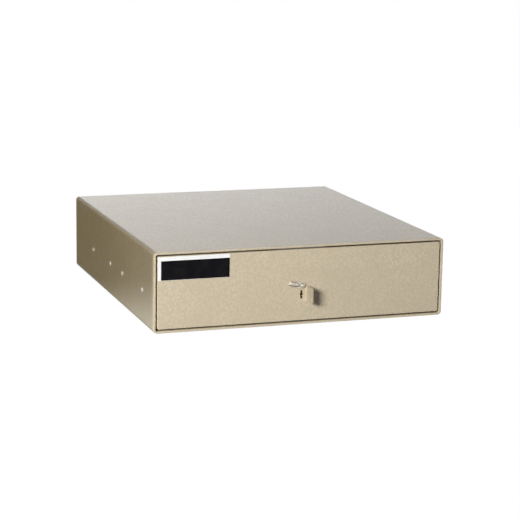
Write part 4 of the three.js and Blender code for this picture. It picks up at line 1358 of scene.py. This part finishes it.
def new_card(name, foot, reach, **constants):
    """Card, drawn from its foot line by its reach, that the camera doesn't see."""
    shape = bmesh.new()
    edge = shape.edges.new([shape.verts.new(corner) for corner in foot])
    raised = bmesh.ops.extrude_edge_only(shape, edges=[edge])["geom"]
    bmesh.ops.translate(shape, vec=reach, verts=only_verts(raised))
    mesh = end_mesh(name, shape)
    card = add_object(name, mesh)
    material, tree, surface, place = new_finish(name, **constants)
    mesh.materials.append(material)
    card.visible_camera = False
    return card, tree, surface, place


def along_y(tree, place):
    return add_node(tree, "ShaderNodeSeparateXYZ", {0: place}).outputs["Y"]


LIT_CARD_TONE = (0.02, 0.018, 0.015, 1)


def lit_card(name, foot, reach, tint):
    """Card of one tint that gloss and bounced light see."""
    made = new_card(
        name,
        foot,
        reach,
        Base_Color=LIT_CARD_TONE,
        Roughness=1,
        Specular_IOR_Level=0,
        Emission_Color=(*tint, 1),
        Emission_Strength=1,
    )
    made[0].visible_shadow = False
    return made


LEFT_TINT = (0.085, 0.06, 0.01)
LEFT_FOOT = ((-0.36, -0.3, 0), (-0.235, 0.6, 0))
LEFT_REACH = (0, 0, 0.6)
STRIP_TINT = (1.0, 0.96, 0.8)
STRIP_FOOT = ((-0.203, -0.28, 0.0001), (-0.203, 0.6, 0.0001))
STRIP_REACH = (-0.3, 0, 0)
STRIP_SPAN = (-0.28, 0.14)
KEY_TINT = (4.5, 4.5, 4.5)
KEY_FOOT = ((-1.2, -1.0, 0.15), (-0.75, -1.35, 0.15))
KEY_REACH = (0, 0, 0.55)


def lit_cards():
    """Dark card left of the casing, floor strip that pales to its front, and the key's bright card."""
    lit_card("left_card", LEFT_FOOT, LEFT_REACH, LEFT_TINT)
    strip, tree, surface, place = lit_card("floor_card", STRIP_FOOT, STRIP_REACH, LEFT_TINT)
    fade = remap(tree, along_y(tree, place), STRIP_SPAN)
    tree.links.new(blend_colours(tree, fade, STRIP_TINT, LEFT_TINT), surface["Emission Color"])
    strip.visible_diffuse = False
    key_card = lit_card("key_card", KEY_FOOT, KEY_REACH, KEY_TINT)[0]
    key_card.visible_diffuse = False


FLAG_TONE = (0.02, 0.02, 0.02, 1)
FLAG_FOOT = ((-0.215, -0.226, 0), (-0.215, 0.6, 0))
FLAG_REACH = (0, 0, 0.1135)
FLAG_SPAN = (-0.226, 0.1)
FLAG_SHARES = (0.49, 0.56)


def flag_card():
    """Card beside the casing that holds part of the key light off its left side."""
    card, tree, surface, place = new_card("flag_card", FLAG_FOOT, FLAG_REACH, Base_Color=FLAG_TONE)
    tree.links.new(remap(tree, along_y(tree, place), FLAG_SPAN, FLAG_SHARES), surface["Alpha"])
    card.visible_glossy = False
    card.visible_diffuse = False


KEY_LAMP = {
    "place": (-1.651, -1.851, 0.793),
    "target": (0, -0.2, 0.05),
    "width": 0.75,
    "height": 0.6,
    "watts": 76,
}
BACK_FILL = {
    "place": (0.9, 1.6, 0.35),
    "target": (0, 0, 0.05),
    "width": 1.2,
    "height": 0.5,
    "watts": 27,
}


def area_lamp(name, place, target, width, height, watts):
    """White lamp that shines at a target. Gloss doesn't see it."""
    data = bpy.data.lights.new(name, "AREA")
    data.shape = "RECTANGLE"
    data.size = width
    data.size_y = height
    data.energy = watts
    lamp = add_object(name, data)
    aim = (Vector(target) - Vector(place)).to_track_quat("-Z", "Y")
    lamp.matrix_world = Matrix.Translation(place) @ aim.to_matrix().to_4x4()
    lamp.visible_glossy = False


make_floor()
make_world()
lit_cards()
flag_card()
area_lamp("key_lamp", **KEY_LAMP)
area_lamp("back_fill", **BACK_FILL)
